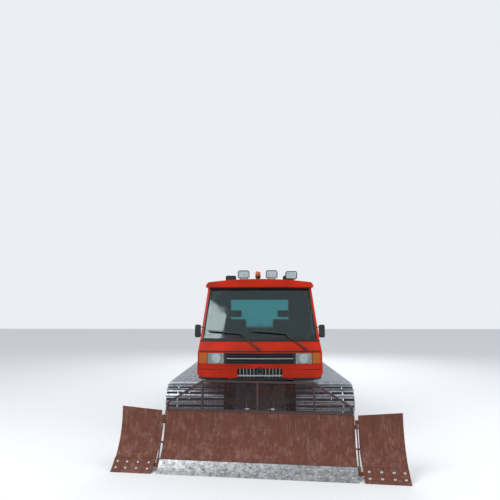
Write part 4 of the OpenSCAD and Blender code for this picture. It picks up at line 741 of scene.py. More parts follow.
COUPLING_AT = (0, -2.612, 1.230)
coupling = collar([(0.038, -0.045), (0.052, -0.045), (0.058, -0.035), (0.058, 0.035), (0.038, 0.035)],
                  COUPLING_AT, -REAR, 40)
coupling_pin = spun([(0, -0.068), (0.013, -0.068), (0.013, 0.062), (0.020, 0.064), (0.020, 0.069),
                     (0, 0.070)], COUPLING_AT, UP, 20)
piece("front_coupling", joined(coupling, coupling_pin), cast_iron)
bumper_bolt_x = np.array([-1.0, -0.46, 0.46, 1.0])
bumper_bolts = xyz(bumper_bolt_x, front_y(bumper_bolt_x, 1.30, inset=-0.035), 1.296)
piece("bumper_bolts", stood(washered(0.008, 0.006), bumper_bolts, -REAR), red_enamel)


# Wipers: rubbers, pivots and spindle nuts, at (x of the pivot on the blade, x of the spindle)

WIPERS = [(-0.360, -0.020), (0.430, 0.790)]
WIPER_TIP_Z = 1.862
WIPER_FOOT_Z = 1.602
# Section of the rubber, as (distance from the glass, height over its line)
RUBBER = [(0.016, -0.006), (0.016, 0.006), (0.009, 0.0045), (0.003, 0.001), (0.003, -0.001), (0.009, -0.0045)]


def wiper_rubber(tip_x):
    """Squeegee: a thin strip carried along the blade's line, from 16 mm to 3 mm proud of the glass."""
    x = tip_x - 0.552 + np.linspace(0, 1, 30) * 0.596
    z = WIPER_TIP_Z + 0.043 - (x - tip_x + 0.560) / 0.61 * 0.052
    return grid(np.stack([on_front(x, z + dz, -d) for d, dz in RUBBER], 1), wrap_v=True, ends=True)


def dome_nut(x, z, proud, radius):
    """Domed nut whose axis is square to the front: profile (r, h) from its foot to the pole."""
    dz = 0.01
    slope = (front_y(x, z + dz) - front_y(x, z)) / dz
    return spun([(0, -0.012), (radius, -0.012), (radius, 0.004), (radius * 0.8, 0.009), (radius * 0.4, 0.012),
                 (0, 0.013)], on_front(x, z, -proud), xyz(0, -1, slope), 20)


piece("wiper_rubbers", joined(*[wiper_rubber(tip) for tip, _ in WIPERS]), seal_rubber)
piece("wiper_nuts", joined(*[dome_nut(foot, WIPER_FOOT_Z, 0.026, 0.015) for _, foot in WIPERS],
                           *[dome_nut(tip, WIPER_TIP_Z, 0.024, 0.008) for tip, _ in WIPERS]), black_plastic)


# Roof lamps and beacon

CROWN_R = 8.5
ROOF_Z = 2.840
# Each lamp as x, y, the way it faces (1 ahead, -1 astern), and whether its flutes run across
ROOF_LAMPS = [(-0.300, -1.955, 1.0, 0), (0.230, -1.955, 1.0, 0), (0.600, -1.955, 1.0, 1),
              (-0.600, -1.060, -1.0, 0), (0.600, -1.060, -1.0, 0)]


def lamp_floor(x):
    """Height of a roof lamp's foot: crown less R - sqrt(R^2 - x^2), plus its bracket."""
    return ROOF_Z - CROWN_R + math.sqrt(CROWN_R ** 2 - (abs(x) - 0.016) ** 2) + 0.0243


def roof_rim(x, g=0.0):
    """Outline of a roof lamp's face, drawn in by g."""
    z = lamp_floor(x)
    return rounded_rim(x - 0.097 + g, x + 0.097 - g, z + 0.013 + g, z + 0.137 - g, 0.016, 6)


def roof_face(y, way):
    """Place on the face of a roof lamp, which stands 40 mm ahead of its foot."""
    return on_plane(y - way * 0.040, way)


roof_lenses = [fluted_lens(roof_rim(x), roof_face(y, way), 0.016, 0.0014, across)
               for x, y, way, across in ROOF_LAMPS]
roof_bowls = [lamp_bowl(roof_rim(x, 0.001), roof_face(y, way), 0.003, 0.0042) for x, y, way, _ in ROOF_LAMPS]
lamp_feet = np.array([(x, y, lamp_floor(x) + 0.004) for x, y, _, _ in ROOF_LAMPS])
roof_bolts = [stood(washered(0.007, 0.007), lamp_feet + s * 0.073 * ACROSS, s * ACROSS, UP) for s in (-1, 1)]
piece("roof_lamp_lenses", joined(*roof_lenses), lamp_glass)
piece("roof_lamp_bowls", joined(*roof_bowls), reflector)
piece("roof_lamp_bolts", joined(*roof_bolts), zinc)

BEACON_FOOT = np.array([-0.030, -1.820, 2.8403])
BEACON = BEACON_FOOT + 0.050 * UP
# Dome as (r, h), with ribs over its four lower rows, and a wall inside it
DOME = np.array([(0.0495, 0.018), (0.0515, 0.024), (0.0505, 0.060), (0.0480, 0.092), (0.0430, 0.106),
                 (0.0330, 0.116), (0.0180, 0.1205), (0.0010, 0.1210)])
dome_x, dome_y = circle(96)
rib = 0.0012 * np.abs(np.sin(np.arange(96) / 96 * TAU * 18)) * (np.arange(8) < 4)[:, None]
dome = xyz((DOME[:, :1] - rib) * dome_x, (DOME[:, :1] - rib) * dome_y, DOME[:, 1:])
inner_dome = (dome * np.array([0.94, 0.94, 0.975]))[::-1]
piece("beacon_dome", grid(BEACON + np.concatenate([dome, inner_dome]), wrap_u=True, wrap_v=True),
      amber_acrylic, replaces=("beacon",))
piece("beacon_base", spun([(0, 0), (0.066, 0), (0.066, 0.012), (0.060, 0.019), (0.042, 0.022), (0.040, 0.030),
                           (0.040, 0.044), (0.053, 0.052), (0.053, 0.076), (0, 0.076)], BEACON_FOOT, UP, 48),
      black_plastic)
vane_turn = np.linspace(-1.9, 1.9, 15)
vane = xyz(0.030 * np.cos(vane_turn), 0.030 * np.sin(vane_turn), 0)
vane_rows = [vane * k + UP * h for k, h in ((1, 0.028), (1, 0.088), (0.94, 0.088), (0.94, 0.028))]
piece("beacon_reflector", grid(BEACON + np.stack(vane_rows), wrap_u=True), reflector)
piece("beacon_bulb", spun([(0, 0.026), (0.010, 0.026), (0.010, 0.050), (0.014, 0.058), (0.012, 0.070),
                           (0, 0.076)], BEACON, UP, 20), lamp_glass)


# Mirrors: glass on the rear face of each housing, in a rubber rim

MIRROR = np.array([1.100, -2.300, 1.890])
mirror_rim = MIRROR[[0, 2]] + np.array([(-0.030, -0.110), (0.040, -0.110), (0.058, -0.090), (0.058, 0.095),
                                        (0.040, 0.115), (-0.030, 0.115), (-0.046, 0.098), (-0.046, -0.092)])
mirror_place = on_plane(-2.296)
piece("mirror_glasses", both(slab(inset_outline(mirror_rim, 0.008), [(0, 0.0), (0, 0.003), (0.012, 0.0036)],
                                  mirror_place)), mirror_glass)
piece("mirror_rims", both(framed(mirror_rim, [(0, 0), (0, 0.004), (0.003, 0.006), (0.008, 0.006), (0.009, 0)],
                                 mirror_place)), seal_rubber)


# Doors: rubber round each window inside and out, lock, hinge screws, and a card with its pull

def on_flank(s, t, d):
    """Place that lays (y, z, depth) on the flank, depth outwards: straight up, then in along two slopes."""
    return xyz(np.interp(t, [1.535, 1.727, 2.690], [1.070, 1.050, 0.970]) + d, s, t)


WALL = 0.045
DOOR_WINDOW = eased([(-2.200, 1.795), (-1.370, 1.795), (-1.370, 2.560), (-1.830, 2.560)], 0.045)
GASKET = [(0.000, 0.001), (-0.010, 0.001), (-0.012, 0.005), (-0.009, 0.008), (0.004, 0.008), (0.009, 0.004),
          (0.010, -0.012), (0.0005, -0.012)]
gaskets = joined(framed(DOOR_WINDOW, GASKET, on_flank),
                 framed(DOOR_WINDOW, [(g, -WALL - d) for g, d in GASKET], on_flank))
lock = spun([(0, 0.0), (0.016, 0.0), (0.016, 0.005), (0.012, 0.007), (0.004, 0.007), (0.004, 0.004),
             (0, 0.004)], (1.070, -1.335, 1.445), ACROSS, 24)
hinge_rows = [(1.078, -2.314 + 0.045, z + dz) for z in (1.230, 1.450) for dz in (0.018, 0.052)]
hinge_screws = stood(bolt(0.007, 0.004), hinge_rows, ACROSS, UP)
door_card = slab(eased([(-2.235, 1.185), (-1.320, 1.185), (-1.320, 1.765), (-2.235, 1.725)], 0.05),
                 [(0, -0.0455), (0, -0.050), (0.012, -0.056), (0.06, -0.056), (0.07, -0.052), (0.20, -0.052)],
                 on_flank)
pull = tube([(1.000, -1.62, 1.62), (0.985, -1.62, 1.62), (0.975, -1.60, 1.62), (0.975, -1.44, 1.62),
             (0.985, -1.42, 1.62), (1.000, -1.42, 1.62)], 0.011, 12)
for side, flip in SIDES:
    body = f"door_{side}"
    piece(f"{body}_gaskets", flip(gaskets), seal_rubber, body)
    piece(f"{body}_lock", flip(joined(lock, hinge_screws)), zinc, body)
    piece(f"{body}_card", flip(joined(door_card, pull)), dash_plastic, body)


# Blade group: drawn square to the blade, then turned by its parked yaw about the swivel

SWIVEL = np.array([0.0, -3.300, 0.0])
YAW = math.radians(-6.0)
# Centre of the mouldboard's circle in (y, z), and the radius of the cutting edge's face
MOULD = np.array([-4.555, 0.690])
EDGE_R = 0.880
LEAN = math.radians(21.346)
HINGE = np.array([1.400, -3.75905, 0.378936])


def yawed(form):
    """Every point turned about the swivel's upright axis."""
    c, s = math.cos(YAW), math.sin(YAW)
    return (form[0] - SWIVEL) @ np.array([[c, s, 0], [-s, c, 0], [0, 0, 1]]) + SWIVEL, form[1]


def on_mould(x, z):
    """Points of the edge's circle: y = centre + sqrt(r^2 - (z - centre)^2), with the way ahead at each."""
    p = xyz(x, MOULD[0] + np.sqrt(EDGE_R ** 2 - (z - MOULD[1]) ** 2), z)
    return p, unit(xyz(0, MOULD[0] - p[:, 1], MOULD[1] - p[:, 2]))


def in_hinge(points):
    """Points of a wing hinge's frame, x across, y behind, z up the leaning pin, as points of the blade."""
    x, y, z = np.moveaxis(np.asarray(points, float), -1, 0)
    c, s = math.cos(-LEAN), math.sin(-LEAN)
    return HINGE + xyz(x, y * c - z * s, y * s + z * c)


def edge_bolts(x):
    """Two rows of button bolts through the edge, or through a wing's foot."""
    button = spun([(0.019, 0), (0.018, 0.004), (0.012, 0.008), (0, 0.0095)], sides=14)
    return joined(*[stood(button, *on_mould(x, z)) for z in (0.048, 0.112)])


# Foot and eye of a wing's cylinder in its hinge's frame
WING_PIN, WING_EYE = np.array([(-0.62, 0.17, 0), (0.2, 0.23, 0)])
pin_cap = spun([(0.019, 0), (0.019, 0.006), (0.010, 0.009), (0.010, 0.016), (0.006, 0.018), (0, 0.018)],
               sides=6)
hinge_way = unit(in_hinge(UP) - HINGE)
wing_caps = joined(*[stood(pin_cap, in_hinge(at + s * reach * UP), s * hinge_way)
                     for at, reach in ((ORIGIN, 0.345), (WING_EYE, 0.047)) for s in (1, -1)])
piece("edge_bolts", yawed(edge_bolts(np.linspace(-1.305, 1.305, 19))), zinc, "blade")
for side, flip in SIDES:
    body = f"wing_{side}"
    piece(f"{body}_bolts", yawed(flip(edge_bolts(np.array([1.52, 1.68, 1.84, 1.98])))), zinc, body)
    piece(f"{body}_pin_caps", yawed(flip(wing_caps)), zinc, body)


# Mesh screen: welded wires at a pitch of 25 mm in a frame of tube, level in the middle and sloped at its ends

SCREEN_HALF, LEVEL_HALF = 1.360, 0.820
SCREEN_FOOT, SCREEN_END, SCREEN_TOP = 0.775, 0.890, 1.218
SCREEN = [(-SCREEN_HALF, SCREEN_FOOT), (SCREEN_HALF, SCREEN_FOOT), (SCREEN_HALF, SCREEN_END),
          (LEVEL_HALF, SCREEN_TOP), (-LEVEL_HALF, SCREEN_TOP), (-SCREEN_HALF, SCREEN_END)]
FRAME = [(0.0, 0.004), (0.0, 0.031), (0.004, 0.035), (0.026, 0.035), (0.030, 0.031), (0.030, 0.004),
         (0.026, 0.0), (0.004, 0.0)]
SLOPE = 0.328 / 0.540
MESH_PITCH = 0.025
WIRE_R = 0.0030
posts = [soft_box((x - 0.014, x + 0.014), (-3.661, -3.634), (0.790, 1.200), 0.004, 2)
         for x in (-LEVEL_HALF, 0, LEVEL_HALF)]
piece("screen_frame", yawed(joined(framed(eased(SCREEN, 0.012, 2), FRAME, on_plane(-3.665)), *posts)),
      screen_enamel, "blade", ("blade_screen",))
wire_x = np.arange(-53, 54) * MESH_PITCH
wire_z = 0.790 + np.arange(17) * MESH_PITCH
wire_top = np.minimum(1.194, SCREEN_END + (SCREEN_HALF - np.abs(wire_x)) * SLOPE - 0.022)
reach = np.minimum(1.335, SCREEN_HALF - (wire_z - SCREEN_END) / SLOPE - 0.030)
uprights = rods(xyz(wire_x, -3.6510, 0.785), xyz(wire_x, -3.6510, wire_top), WIRE_R, 6)
levels = rods(xyz(-reach, -3.6455, wire_z), xyz(reach, -3.6455, wire_z), WIRE_R, 6)
piece("screen_wires", yawed(joined(uprights, levels)), mesh_wire, "blade")


# Glands of the cylinders, and caps on the ends of the pivot pins

def yawed_point(p):
    """A point of the blade group turned with it."""
    return yawed((np.asarray(p)[None], []))[0][0]


def gland(foot, eye, length, r):
    """Gland nut at a barrel's mouth, weld ring at its foot and oil port, turned about the cylinder's line."""
    way = unit(eye - foot)
    mouth = collar([(r + 0.0006, -0.034), (r + 0.006, -0.034), (r + 0.006, -0.004), (r, 0.006),
                    (0.0195, 0.006), (0.0195, 0.0005), (r - 0.002, 0.0005)], foot + length * way, way, 28)
    seat = collar([(r + 0.0006, 0.058), (r + 0.004, 0.060), (r + 0.004, 0.072), (r + 0.0006, 0.076)],
                  foot, way, 28)
    port = spun([(0, r - 0.004), (0.011, r - 0.004), (0.011, r + 0.008), (0.008, r + 0.011), (0, r + 0.011)],
                foot + 0.095 * way, np.cross(way, ACROSS) if abs(way[0]) < 0.9 else UP, 16)
    return joined(mouth, seat, port)


def caps(x_out, x_in, form, pin):
    """Caps on both ends of a pin across the machine, and of its mirror image."""
    return both(*[stood(form, (x, *pin[1:]), way * ACROSS, UP) for x, way in ((x_out, 1), (x_in, -1))])


LIFT_PIN, LIFT_EYE = np.array([(0.21, -2.140, 0.900), (0.21, -2.650, 0.610)])
REAR_PIN, REAR_EYE = np.array([(0.21, 2.340, 0.930), (0.21, 2.900, 0.650)])
YAW_PIN, YAW_EYE = np.array([(0.400, -2.440, 0.380), (0.285, -3.330, 0.380)])
TILT_PIN, TILT_EYE = np.array([(0.070, -3.470, 0.640), (-0.420, -3.470, 0.640)])
PUSH_PIVOT, REAR_PIVOT = (0, -2.130, 0.500), (0, 2.330, 0.520)
wing_pin, wing_eye = in_hinge(WING_PIN), in_hinge(WING_EYE)
for name, pin, eye in (("lift", LIFT_PIN, LIFT_EYE), ("rear", REAR_PIN, REAR_EYE)):
    piece(f"{name}_glands", both(gland(pin, eye, 0.330, 0.038)), gland_steel, f"{name}_barrel")
for name, pin, eye, length, r in (
        ("yaw_left", YAW_PIN, yawed_point(YAW_EYE), 0.520, 0.032),
        ("yaw_right", YAW_PIN * FLIP, yawed_point(YAW_EYE * FLIP), 0.520, 0.032),
        ("tilt", yawed_point(TILT_PIN), yawed_point(TILT_EYE), 0.330, 0.032),
        ("wing_left", yawed_point(wing_pin), yawed_point(wing_eye), 0.482, 0.030),
        ("wing_right", yawed_point(wing_pin * FLIP), yawed_point(wing_eye * FLIP), 0.482, 0.030)):
    piece(f"{name}_gland", gland(pin, eye, length, r), gland_steel, f"{name}_barrel")
big_cap = 0.427, 0.293, spun([(0.036, 0), (0.036, 0.005), (0.030, 0.008), (0.013, 0.008), (0.013, 0.016),
                              (0.009, 0.018), (0, 0.018)], sides=24)
small_cap = 0.265, 0.155, spun([(0.027, 0), (0.027, 0.004), (0.011, 0.006), (0.011, 0.013), (0.008, 0.015),
                                (0, 0.015)], sides=20)
for name, body, first, second in (
        ("push_frame", "push_frame", (*big_cap, PUSH_PIVOT), (*small_cap, LIFT_EYE)),
        ("rear_frame", "rear_frame", (*big_cap, REAR_PIVOT), (*small_cap, REAR_EYE)),
        ("chassis", "machine", (*small_cap, LIFT_PIN), (*small_cap, REAR_PIN))):
    piece(f"{name}_pin_caps", joined(caps(*first), caps(*second)), zinc, body)


# Wheels: hub caps and nuts on the outer faces, and rings moulded into the sidewalls

WHEELS = [(y, 0.346) for y in (-1.18, -0.59, 0.0, 0.59, 1.18)] + [(-1.784, 0.614)]
hub_cap = spun([(0.058, -0.010), (0.058, 0.010), (0.052, 0.020), (0.030, 0.027), (0.012, 0.028),
                (0.012, 0.034), (0, 0.035)], sides=28)
hub = joined(hub_cap, stood(washered(0.012, 0.012), xyz(*circle(6, 0.105), -0.0745)))
piece("wheel_hubs", both(stood(hub, [(1.2575, *at) for at in WHEELS], ACROSS, UP)), zinc)
drive_hub = joined(spun([(0.078, 0), (0.078, 0.016), (0.062, 0.026), (0, 0.028)], sides=28),
                   stood(washered(0.011, 0.011), xyz(*circle(6, 0.095), 0)))
piece("sprocket_hubs", both(stood(drive_hub, (1.305, *SPROCKET_AT), ACROSS, UP)), cast_iron)
sidewalls = [collar([(0.206, h * 0.0805), (0.212, h * 0.0845), (0.222, h * 0.0845), (0.228, h * 0.0805)],
                    (WHEEL_X, *at), ACROSS, 64) for at in WHEELS for h in (-1, 1)]
piece("tyre_sidewall_rings", both(*sidewalls), tyre_rubber)


# Engine bay: louvres in its side openings, hood catches, and clamps of the exhaust

CATCH_Y = (-0.30, 0.35)
EXHAUST = (-0.980, -0.780)
DECK_Z = 1.080
LOUVRE = [(0.0, 0.0), (0.026, 0.014), (0.026, 0.0165), (0.0, 0.0025)]
slats = [prism(LOUVRE, (0.872, y, z), ACROSS, -UP, 0.080 * REAR)
         for y in -0.500 + 0.130 * np.arange(6) for z in 1.375 + 0.030 * np.arange(9)]
piece("bay_louvres", both(*slats), black_plastic)
catch = joined(soft_box((0.9005, 0.914), (-0.018, 0.018), (1.760, 1.815), 0.004, 2),
               soft_box((0.903, 0.911), (-0.010, 0.010), (1.808, 1.838), 0.003, 2))
piece("hood_catches", both(*[moved(catch, y * REAR) for y in CATCH_Y]), seal_rubber)
studs = stood(washered(0.008, 0.006), [(0.900, y, 1.8625) for y in CATCH_Y], ACROSS, UP)
piece("hood_studs", both(studs), zinc, "engine_hood")
CLAMP = [(0.0792, 0.0), (0.0815, 0.0), (0.0815, 0.018), (0.0792, 0.018)]
clamps = [collar(CLAMP, (*EXHAUST, DECK_Z + z), UP, 40) for z in (0.334, 0.764)]
clamp_bolts = stood(bolt(0.007, 0.030), [(EXHAUST[0] - 0.015, EXHAUST[1] - 0.084, DECK_Z + z)
                                         for z in (0.343, 0.773)], ACROSS, UP)
piece("exhaust_clamps", joined(*clamps, clamp_bolts), zinc)


# Under the hood: floor pans beside the tub, rocker cover, manifold, air cleaner, radiator and battery

def ribs(x, ys, half, z, r):
    """Low ribs across x, one at each y."""
    return [soft_box(x, (y - half, y + half), z, r, 1) for y in ys]


pan = soft_box((0.4515, 0.868), (-0.888, 0.668), (1.0803, 1.0840), 0.0015, 1)
pan_ribs = ribs((0.470, 0.845), np.linspace(-0.70, 0.50, 7), 0.02, (1.0835, 1.0900), 0.003)
piece("bay_pans", both(pan, *pan_ribs), chassis_enamel)
cover = soft_box((-0.160, 0.160), (-0.590, 0.350), (1.4490, 1.5300), 0.022, 3)
cover_ribs = ribs((-0.120, 0.120), np.linspace(-0.52, 0.28, 13), 0.006, (1.528, 1.536), 0.003)
plenum = soft_box((0.185, 0.315), (-0.540, 0.300), (1.4490, 1.5250), 0.030, 3)
piece("rocker_cover", joined(cover, *cover_ribs, plenum), cast_aluminium)
cover_bolts = [(s * 0.172, y, 1.4503) for s in (-1, 1) for y in np.linspace(-0.56, 0.32, 9)]
piece("cover_bolts", stood(washered(0.009, 0.008), cover_bolts), zinc)
port_y = np.linspace(-0.52, 0.28, 6)
ports = rods(xyz(-0.322, port_y, 1.360), xyz(-0.410, port_y, 1.350), 0.026, 12)
log_pipe = tube([(-0.415, 0.330, 1.350), (-0.415, 0.325, 1.350), (-0.415, -0.520, 1.350),
                 (-0.430, -0.600, 1.345), (-0.480, -0.680, 1.320), (-0.560, -0.740, 1.280),
                 (-0.660, -0.775, 1.240), (-0.868, -0.780, 1.200)],
                [0.030, 0.036, 0.036, 0.036, 0.038, 0.040, 0.042, 0.042], 16)
piece("exhaust_manifold", joined(ports, log_pipe), cast_iron)
canister = spun([(0, 0), (0.098, 0), (0.105, 0.010), (0.105, 0.070), (0.112, 0.074), (0.112, 0.090),
                 (0.105, 0.094), (0.105, 0.440), (0.090, 0.470), (0.050, 0.480), (0, 0.480)],
                (0.620, -0.560, 1.350), REAR, 40)
intake_pipe = tube([(0.620, -0.085, 1.350), (0.620, -0.060, 1.350), (0.600, 0.020, 1.375),
                    (0.530, 0.090, 1.430), (0.430, 0.110, 1.475), (0.318, 0.110, 1.490)], 0.040, 16)
filler = spun([(0.032, 0), (0.032, 0.018), (0.026, 0.024), (0.010, 0.025), (0, 0.025)],
              (0.060, -0.400, 1.5360), UP, 12)
piece("air_cleaner", joined(canister, intake_pipe, filler), black_plastic)
piece("air_cleaner_feet", joined(*ribs((0.560, 0.680), (-0.46, -0.22), 0.02, (1.086, 1.252), 0.006)),
      chassis_enamel)
fins = [soft_box((-0.330, 0.330), (0.575, 0.655), (z - 0.002, z + 0.002), 0.001, 1)
        for z in np.arange(1.185, 1.665, 0.012)]
flow_x = np.linspace(-0.32, 0.32, 23)
flow_tubes = rods(xyz(flow_x, 0.615, 1.160), xyz(flow_x, 0.615, 1.690), 0.006, 6)
piece("radiator_core", joined(*fins, flow_tubes), cast_aluminium)
tanks = [soft_box((-0.350, 0.350), (0.565, 0.665), z, 0.020, 2) for z in ((1.100, 1.180), (1.670, 1.750))]
side_rails = [soft_box((x - 0.012, x + 0.012), (0.565, 0.665), (1.140, 1.710), 0.004, 1)
              for x in (-0.344, 0.344)]
piece("radiator_tanks", joined(*tanks, *side_rails), black_plastic)
piece("radiator_hose", tube([(0.080, 0.300, 1.490), (0.080, 0.360, 1.492), (0.090, 0.430, 1.530),
                             (0.110, 0.500, 1.620), (0.120, 0.545, 1.690), (0.120, 0.590, 1.710)], 0.024, 14),
      seal_rubber)
case = soft_box((-0.780, -0.540), (0.280, 0.460), (1.0905, 1.2800), 0.010, 2)
lid = soft_box((-0.785, -0.535), (0.275, 0.465), (1.2600, 1.2850), 0.006, 2)
piece("battery", joined(case, lid), black_plastic)
piece("battery_poles", joined(*[spun([(0.010, 0), (0.010, 0.020), (0.008, 0.022), (0, 0.022)],
                                     (x, 0.310, 1.284), UP, 14) for x in (-0.740, -0.580)]), zinc)


# Load bed: tread plate on its deck, and its lamps

TREAD_PITCH = 0.0455
LOZENGE = np.array([(-0.020, 0.0), (0.0, -0.006), (0.020, 0.0), (0.0, 0.006)])
lozenge = grid(np.stack([np.c_[LOZENGE, np.zeros(4)], np.c_[LOZENGE * 0.7, np.full(4, 0.0025)]]), wrap_v=True,
               ends=True)
ix, iy = (i.ravel() for i in np.meshgrid(np.arange(45), np.arange(33), indexing="ij"))
tread_at = xyz((ix - 22) * TREAD_PITCH, 0.778 + iy * TREAD_PITCH, 1.1400)
piece("bed_tread", stood(lozenge, tread_at, UP, xyz(1, np.where((ix + iy) % 2, -1, 1), 0)), red_enamel)
tail_rims = [rounded_rim(s * x - 0.0225, s * x + 0.0225, 1.2125, 1.3275, 0.006, 4) for s in (-1, 1)
             for x in (0.848, 0.900, 0.952)]
tail_lenses = [fluted_lens(rim, on_plane(2.3450, -1.0), 0.008, 0.0010, 1, 0.004) for rim in tail_rims]
tail_backs = [slab(rim, [(0.001, 0.0), (0.001, 0.002)], on_plane(2.3345)) for rim in tail_rims]
piece("tail_lamp_lenses", joined(*[tail_lenses[i] for i in (0, 2, 3, 5)]), red_acrylic,
      replaces=("tail_lamps",))
piece("tail_lamp_flashers", joined(*[tail_lenses[i] for i in (1, 4)]), amber_acrylic)
piece("tail_lamp_backs", joined(*tail_backs), reflector)


# Tiller: clamp bar of the mat along its slope in (y, z), and bolts of the motor flanges

MAT_TOP = np.array([0, 3.615, 0.480])
MAT_WAY = unit(np.array([0, 0.180, -0.340]))
MAT_OUT = unit(np.array([0, 0.340, 0.180]))
clamp_bar = prism([(0.020, 0.0004), (0.062, 0.0004), (0.062, 0.007), (0.059, 0.010), (0.023, 0.010),
                   (0.020, 0.007)], MAT_TOP - 2.035 * ACROSS, MAT_WAY, MAT_OUT, 4.07 * ACROSS)
piece("mat_clamp_bar", clamp_bar, wheel_enamel, "rear_frame")
mat_bolts = MAT_TOP + 0.041 * MAT_WAY + 0.010 * MAT_OUT + xyz(np.linspace(-1.95, 1.95, 16), 0, 0)
flange_y, flange_z = circle(8, 0.069)
flange_bolts = stood(bolt(0.008, 0.008), xyz(1.920, 3.380 + flange_y, 0.240 + flange_z), ACROSS, UP)
piece("tiller_bolts", joined(stood(washered(0.010, 0.009), mat_bolts, MAT_OUT), both(flange_bolts)), zinc,
      "rear_frame")


# Cab inside: headliner, rear trim, floor mat, dials, switches, vents, display, pedals and stick boot

piece("headliner", soft_box((-0.868, 0.868), (-1.900, -1.000), (2.662, 2.682), 0.006, 2), liner_board)
# Rear trim: rings of corners (x, z) round the wall's edge and its window, wider at the waist than above
OUTER = [(-0.895 * 1.07, 1.150), (0.895 * 1.07, 1.150), (0.895, 2.640), (-0.895, 2.640)]
INNER = [(-0.600, 1.850), (0.600, 1.850), (0.600, 2.490), (-0.600, 2.490)]
trim_rows = [(OUTER, -0.9965), (OUTER, -1.004), (INNER, -1.004), (INNER, -0.9965)]
trim = np.stack([on_plane(y)(*np.array(corners).T, 0) for corners, y in trim_rows])
rear_trim = piece("rear_trim", grid(trim, wrap_u=True, wrap_v=True), liner_board)
edge = rear_trim.modifiers.new("edge", "BEVEL")
edge.width = 0.002
edge.segments = 2
edge.limit_method = "ANGLE"
edge.angle_limit = math.radians(40)
piece("floor_mat", soft_box((-0.960, 0.960), (-2.290, -1.010), (1.1303, 1.1400), 0.004, 2), mat_rubber)


def sloped(foot, head):
    """Way up a sloped face from its foot to its head, and the way out of it."""
    up = unit(np.array(head) - np.array(foot))
    return up, np.array([0, up[2], -up[1]])


DIAL_FOOT, DIAL_HEAD = (0, -2.225, 1.738), (0, -2.290, 1.790)
dial_out = sloped(DIAL_FOOT, DIAL_HEAD)[1]
dial_mid = (np.array(DIAL_FOOT) + np.array(DIAL_HEAD)) / 2 + 0.0004 * dial_out
dial_stand = stands(dial_mid + xyz([0.330, 0.430, 0.530], 0, 0), dial_out)
rim_form = collar([(0.0335, 0.0), (0.0375, 0.0), (0.0365, 0.006), (0.0335, 0.005)], ORIGIN, UP, 40)
face_form = spun([(0, 0.0), (0.0335, 0.0), (0.0335, 0.001), (0, 0.001)], sides=40)
tick_turn = np.radians(np.linspace(-210, 30, 9))
ticks = rods(*(xyz(r * np.cos(tick_turn), r * np.sin(tick_turn), 0.0013) for r in (0.024, 0.031)), 0.0008)
needle = rods([[-0.004, -0.003, 0.0022]], [[0.019, 0.014, 0.0022]], 0.0010)
piece("dial_rims", repeated(rim_form, dial_stand), trim_metal)
piece("dial_faces", repeated(face_form, dial_stand), black_plastic)
piece("dial_marks", repeated(joined(ticks, needle), dial_stand), mark_white)
SWITCH_FOOT = np.array([0, -2.250, 1.500])
switch_up, switch_out = sloped(SWITCH_FOOT, (0, -2.180, 1.690))
rocker = joined(soft_box((-0.013, 0.013), (-0.021, 0.021), (0.0, 0.004), 0.002, 2),
                soft_box((-0.010, 0.010), (-0.017, 0.017), (0.003, 0.010), 0.003, 2))
vent_rim = rounded_rim(-0.065, 0.065, -0.032, 0.032, 0.012)
vent = joined(framed(vent_rim, [(0, 0), (0, 0.005), (0.005, 0.007), (0.007, 0)], xyz),
              *ribs((-0.058, 0.058), np.linspace(-0.022, 0.022, 5), 0.0015, (0.0, 0.005), 0.001))
switch_at = SWITCH_FOOT + 0.135 * switch_up + xyz(np.arange(-4, 5) * 0.036, 0, 0)
vent_at = SWITCH_FOOT + 0.120 * switch_up + xyz([-0.78, -0.42, 0.74], 0, 0)
piece("dash_switches", joined(stood(rocker, switch_at, switch_out), stood(vent, vent_at, switch_out)),
      black_plastic)
display = slab(rounded_rim(0.052, 0.188, 0.010, 0.112, 0.008), [(0, 0.0), (0, 0.002), (0.002, 0.003)],
               lambda s, t, d: xyz(s, -2.298 + t * 0.235 + d, 1.714 + t * 0.97 - d * 0.25))
piece("dash_display", display, dark_screen)
PEDAL_X = (0.34, 0.50)
pedals = stood(soft_box((-0.038, 0.038), (-0.060, 0.060), (-0.008, 0.008), 0.005, 2),
               [(x, -2.335, 1.235) for x in PEDAL_X], (0, 0.80, 0.60))
pedal_arms = rods(xyz(PEDAL_X, -2.345, 1.225), xyz(PEDAL_X, -2.400, 1.132), 0.009, 10)
piece("pedals", joined(pedals, pedal_arms), seal_rubber)
piece("stick_boot", spun([(0.050, 0.0), (0.050, 0.006), (0.034, 0.012), (0.038, 0.020), (0.026, 0.027),
                          (0.029, 0.035), (0.016, 0.043), (0.0095, 0.046), (0.0095, 0.040)],
                         (0.020, -1.780, 1.575)), seal_rubber)


# Seats: hard base and pan, then cushion, back and headrest swollen as sewn covers over foam

SEAT_X = 0.480
SWELL_FRAMES = 20
SEAM = 0.005


def seat_pair(*forms):
    """The same forms under both seats."""
    return joined(*[moved(joined(*forms), s * SEAT_X * ACROSS) for s in (1, -1)])


square = rounded_rim(-0.150, 0.150, -1.750, -1.450, 0.03)
bellows = slab(square, [(-0.008 * (i % 2), 1.132 + i / 12 * 0.196) for i in range(13)], xyz)
pan = slab(rounded_rim(-0.205, 0.205, -1.870, -1.385, 0.04),
           [(0.01, 1.326), (0, 1.336), (0, 1.400), (0.01, 1.412)], xyz)
shell = prism([(-1.372, 1.420), (-1.350, 1.520), (-1.215, 2.085), (-1.228, 2.090), (-1.366, 1.525),
               (-1.388, 1.420)], -0.205 * ACROSS, REAR, UP, 0.41 * ACROSS)
knob = spun([(0, 0), (0.030, 0), (0.033, 0.008), (0.030, 0.026), (0, 0.030)], (0.205, -1.410, 1.440),
            ACROSS, 12)
head_posts = rods(xyz([-0.06, 0.06], -1.262, 2.07), xyz([-0.06, 0.06], -1.245, 2.16), 0.006, 12)
piece("seat_bellows", seat_pair(bellows), seal_rubber)
piece("seat_pans", seat_pair(pan, shell, knob), black_plastic)
piece("headrest_posts", seat_pair(head_posts), hard_chrome)


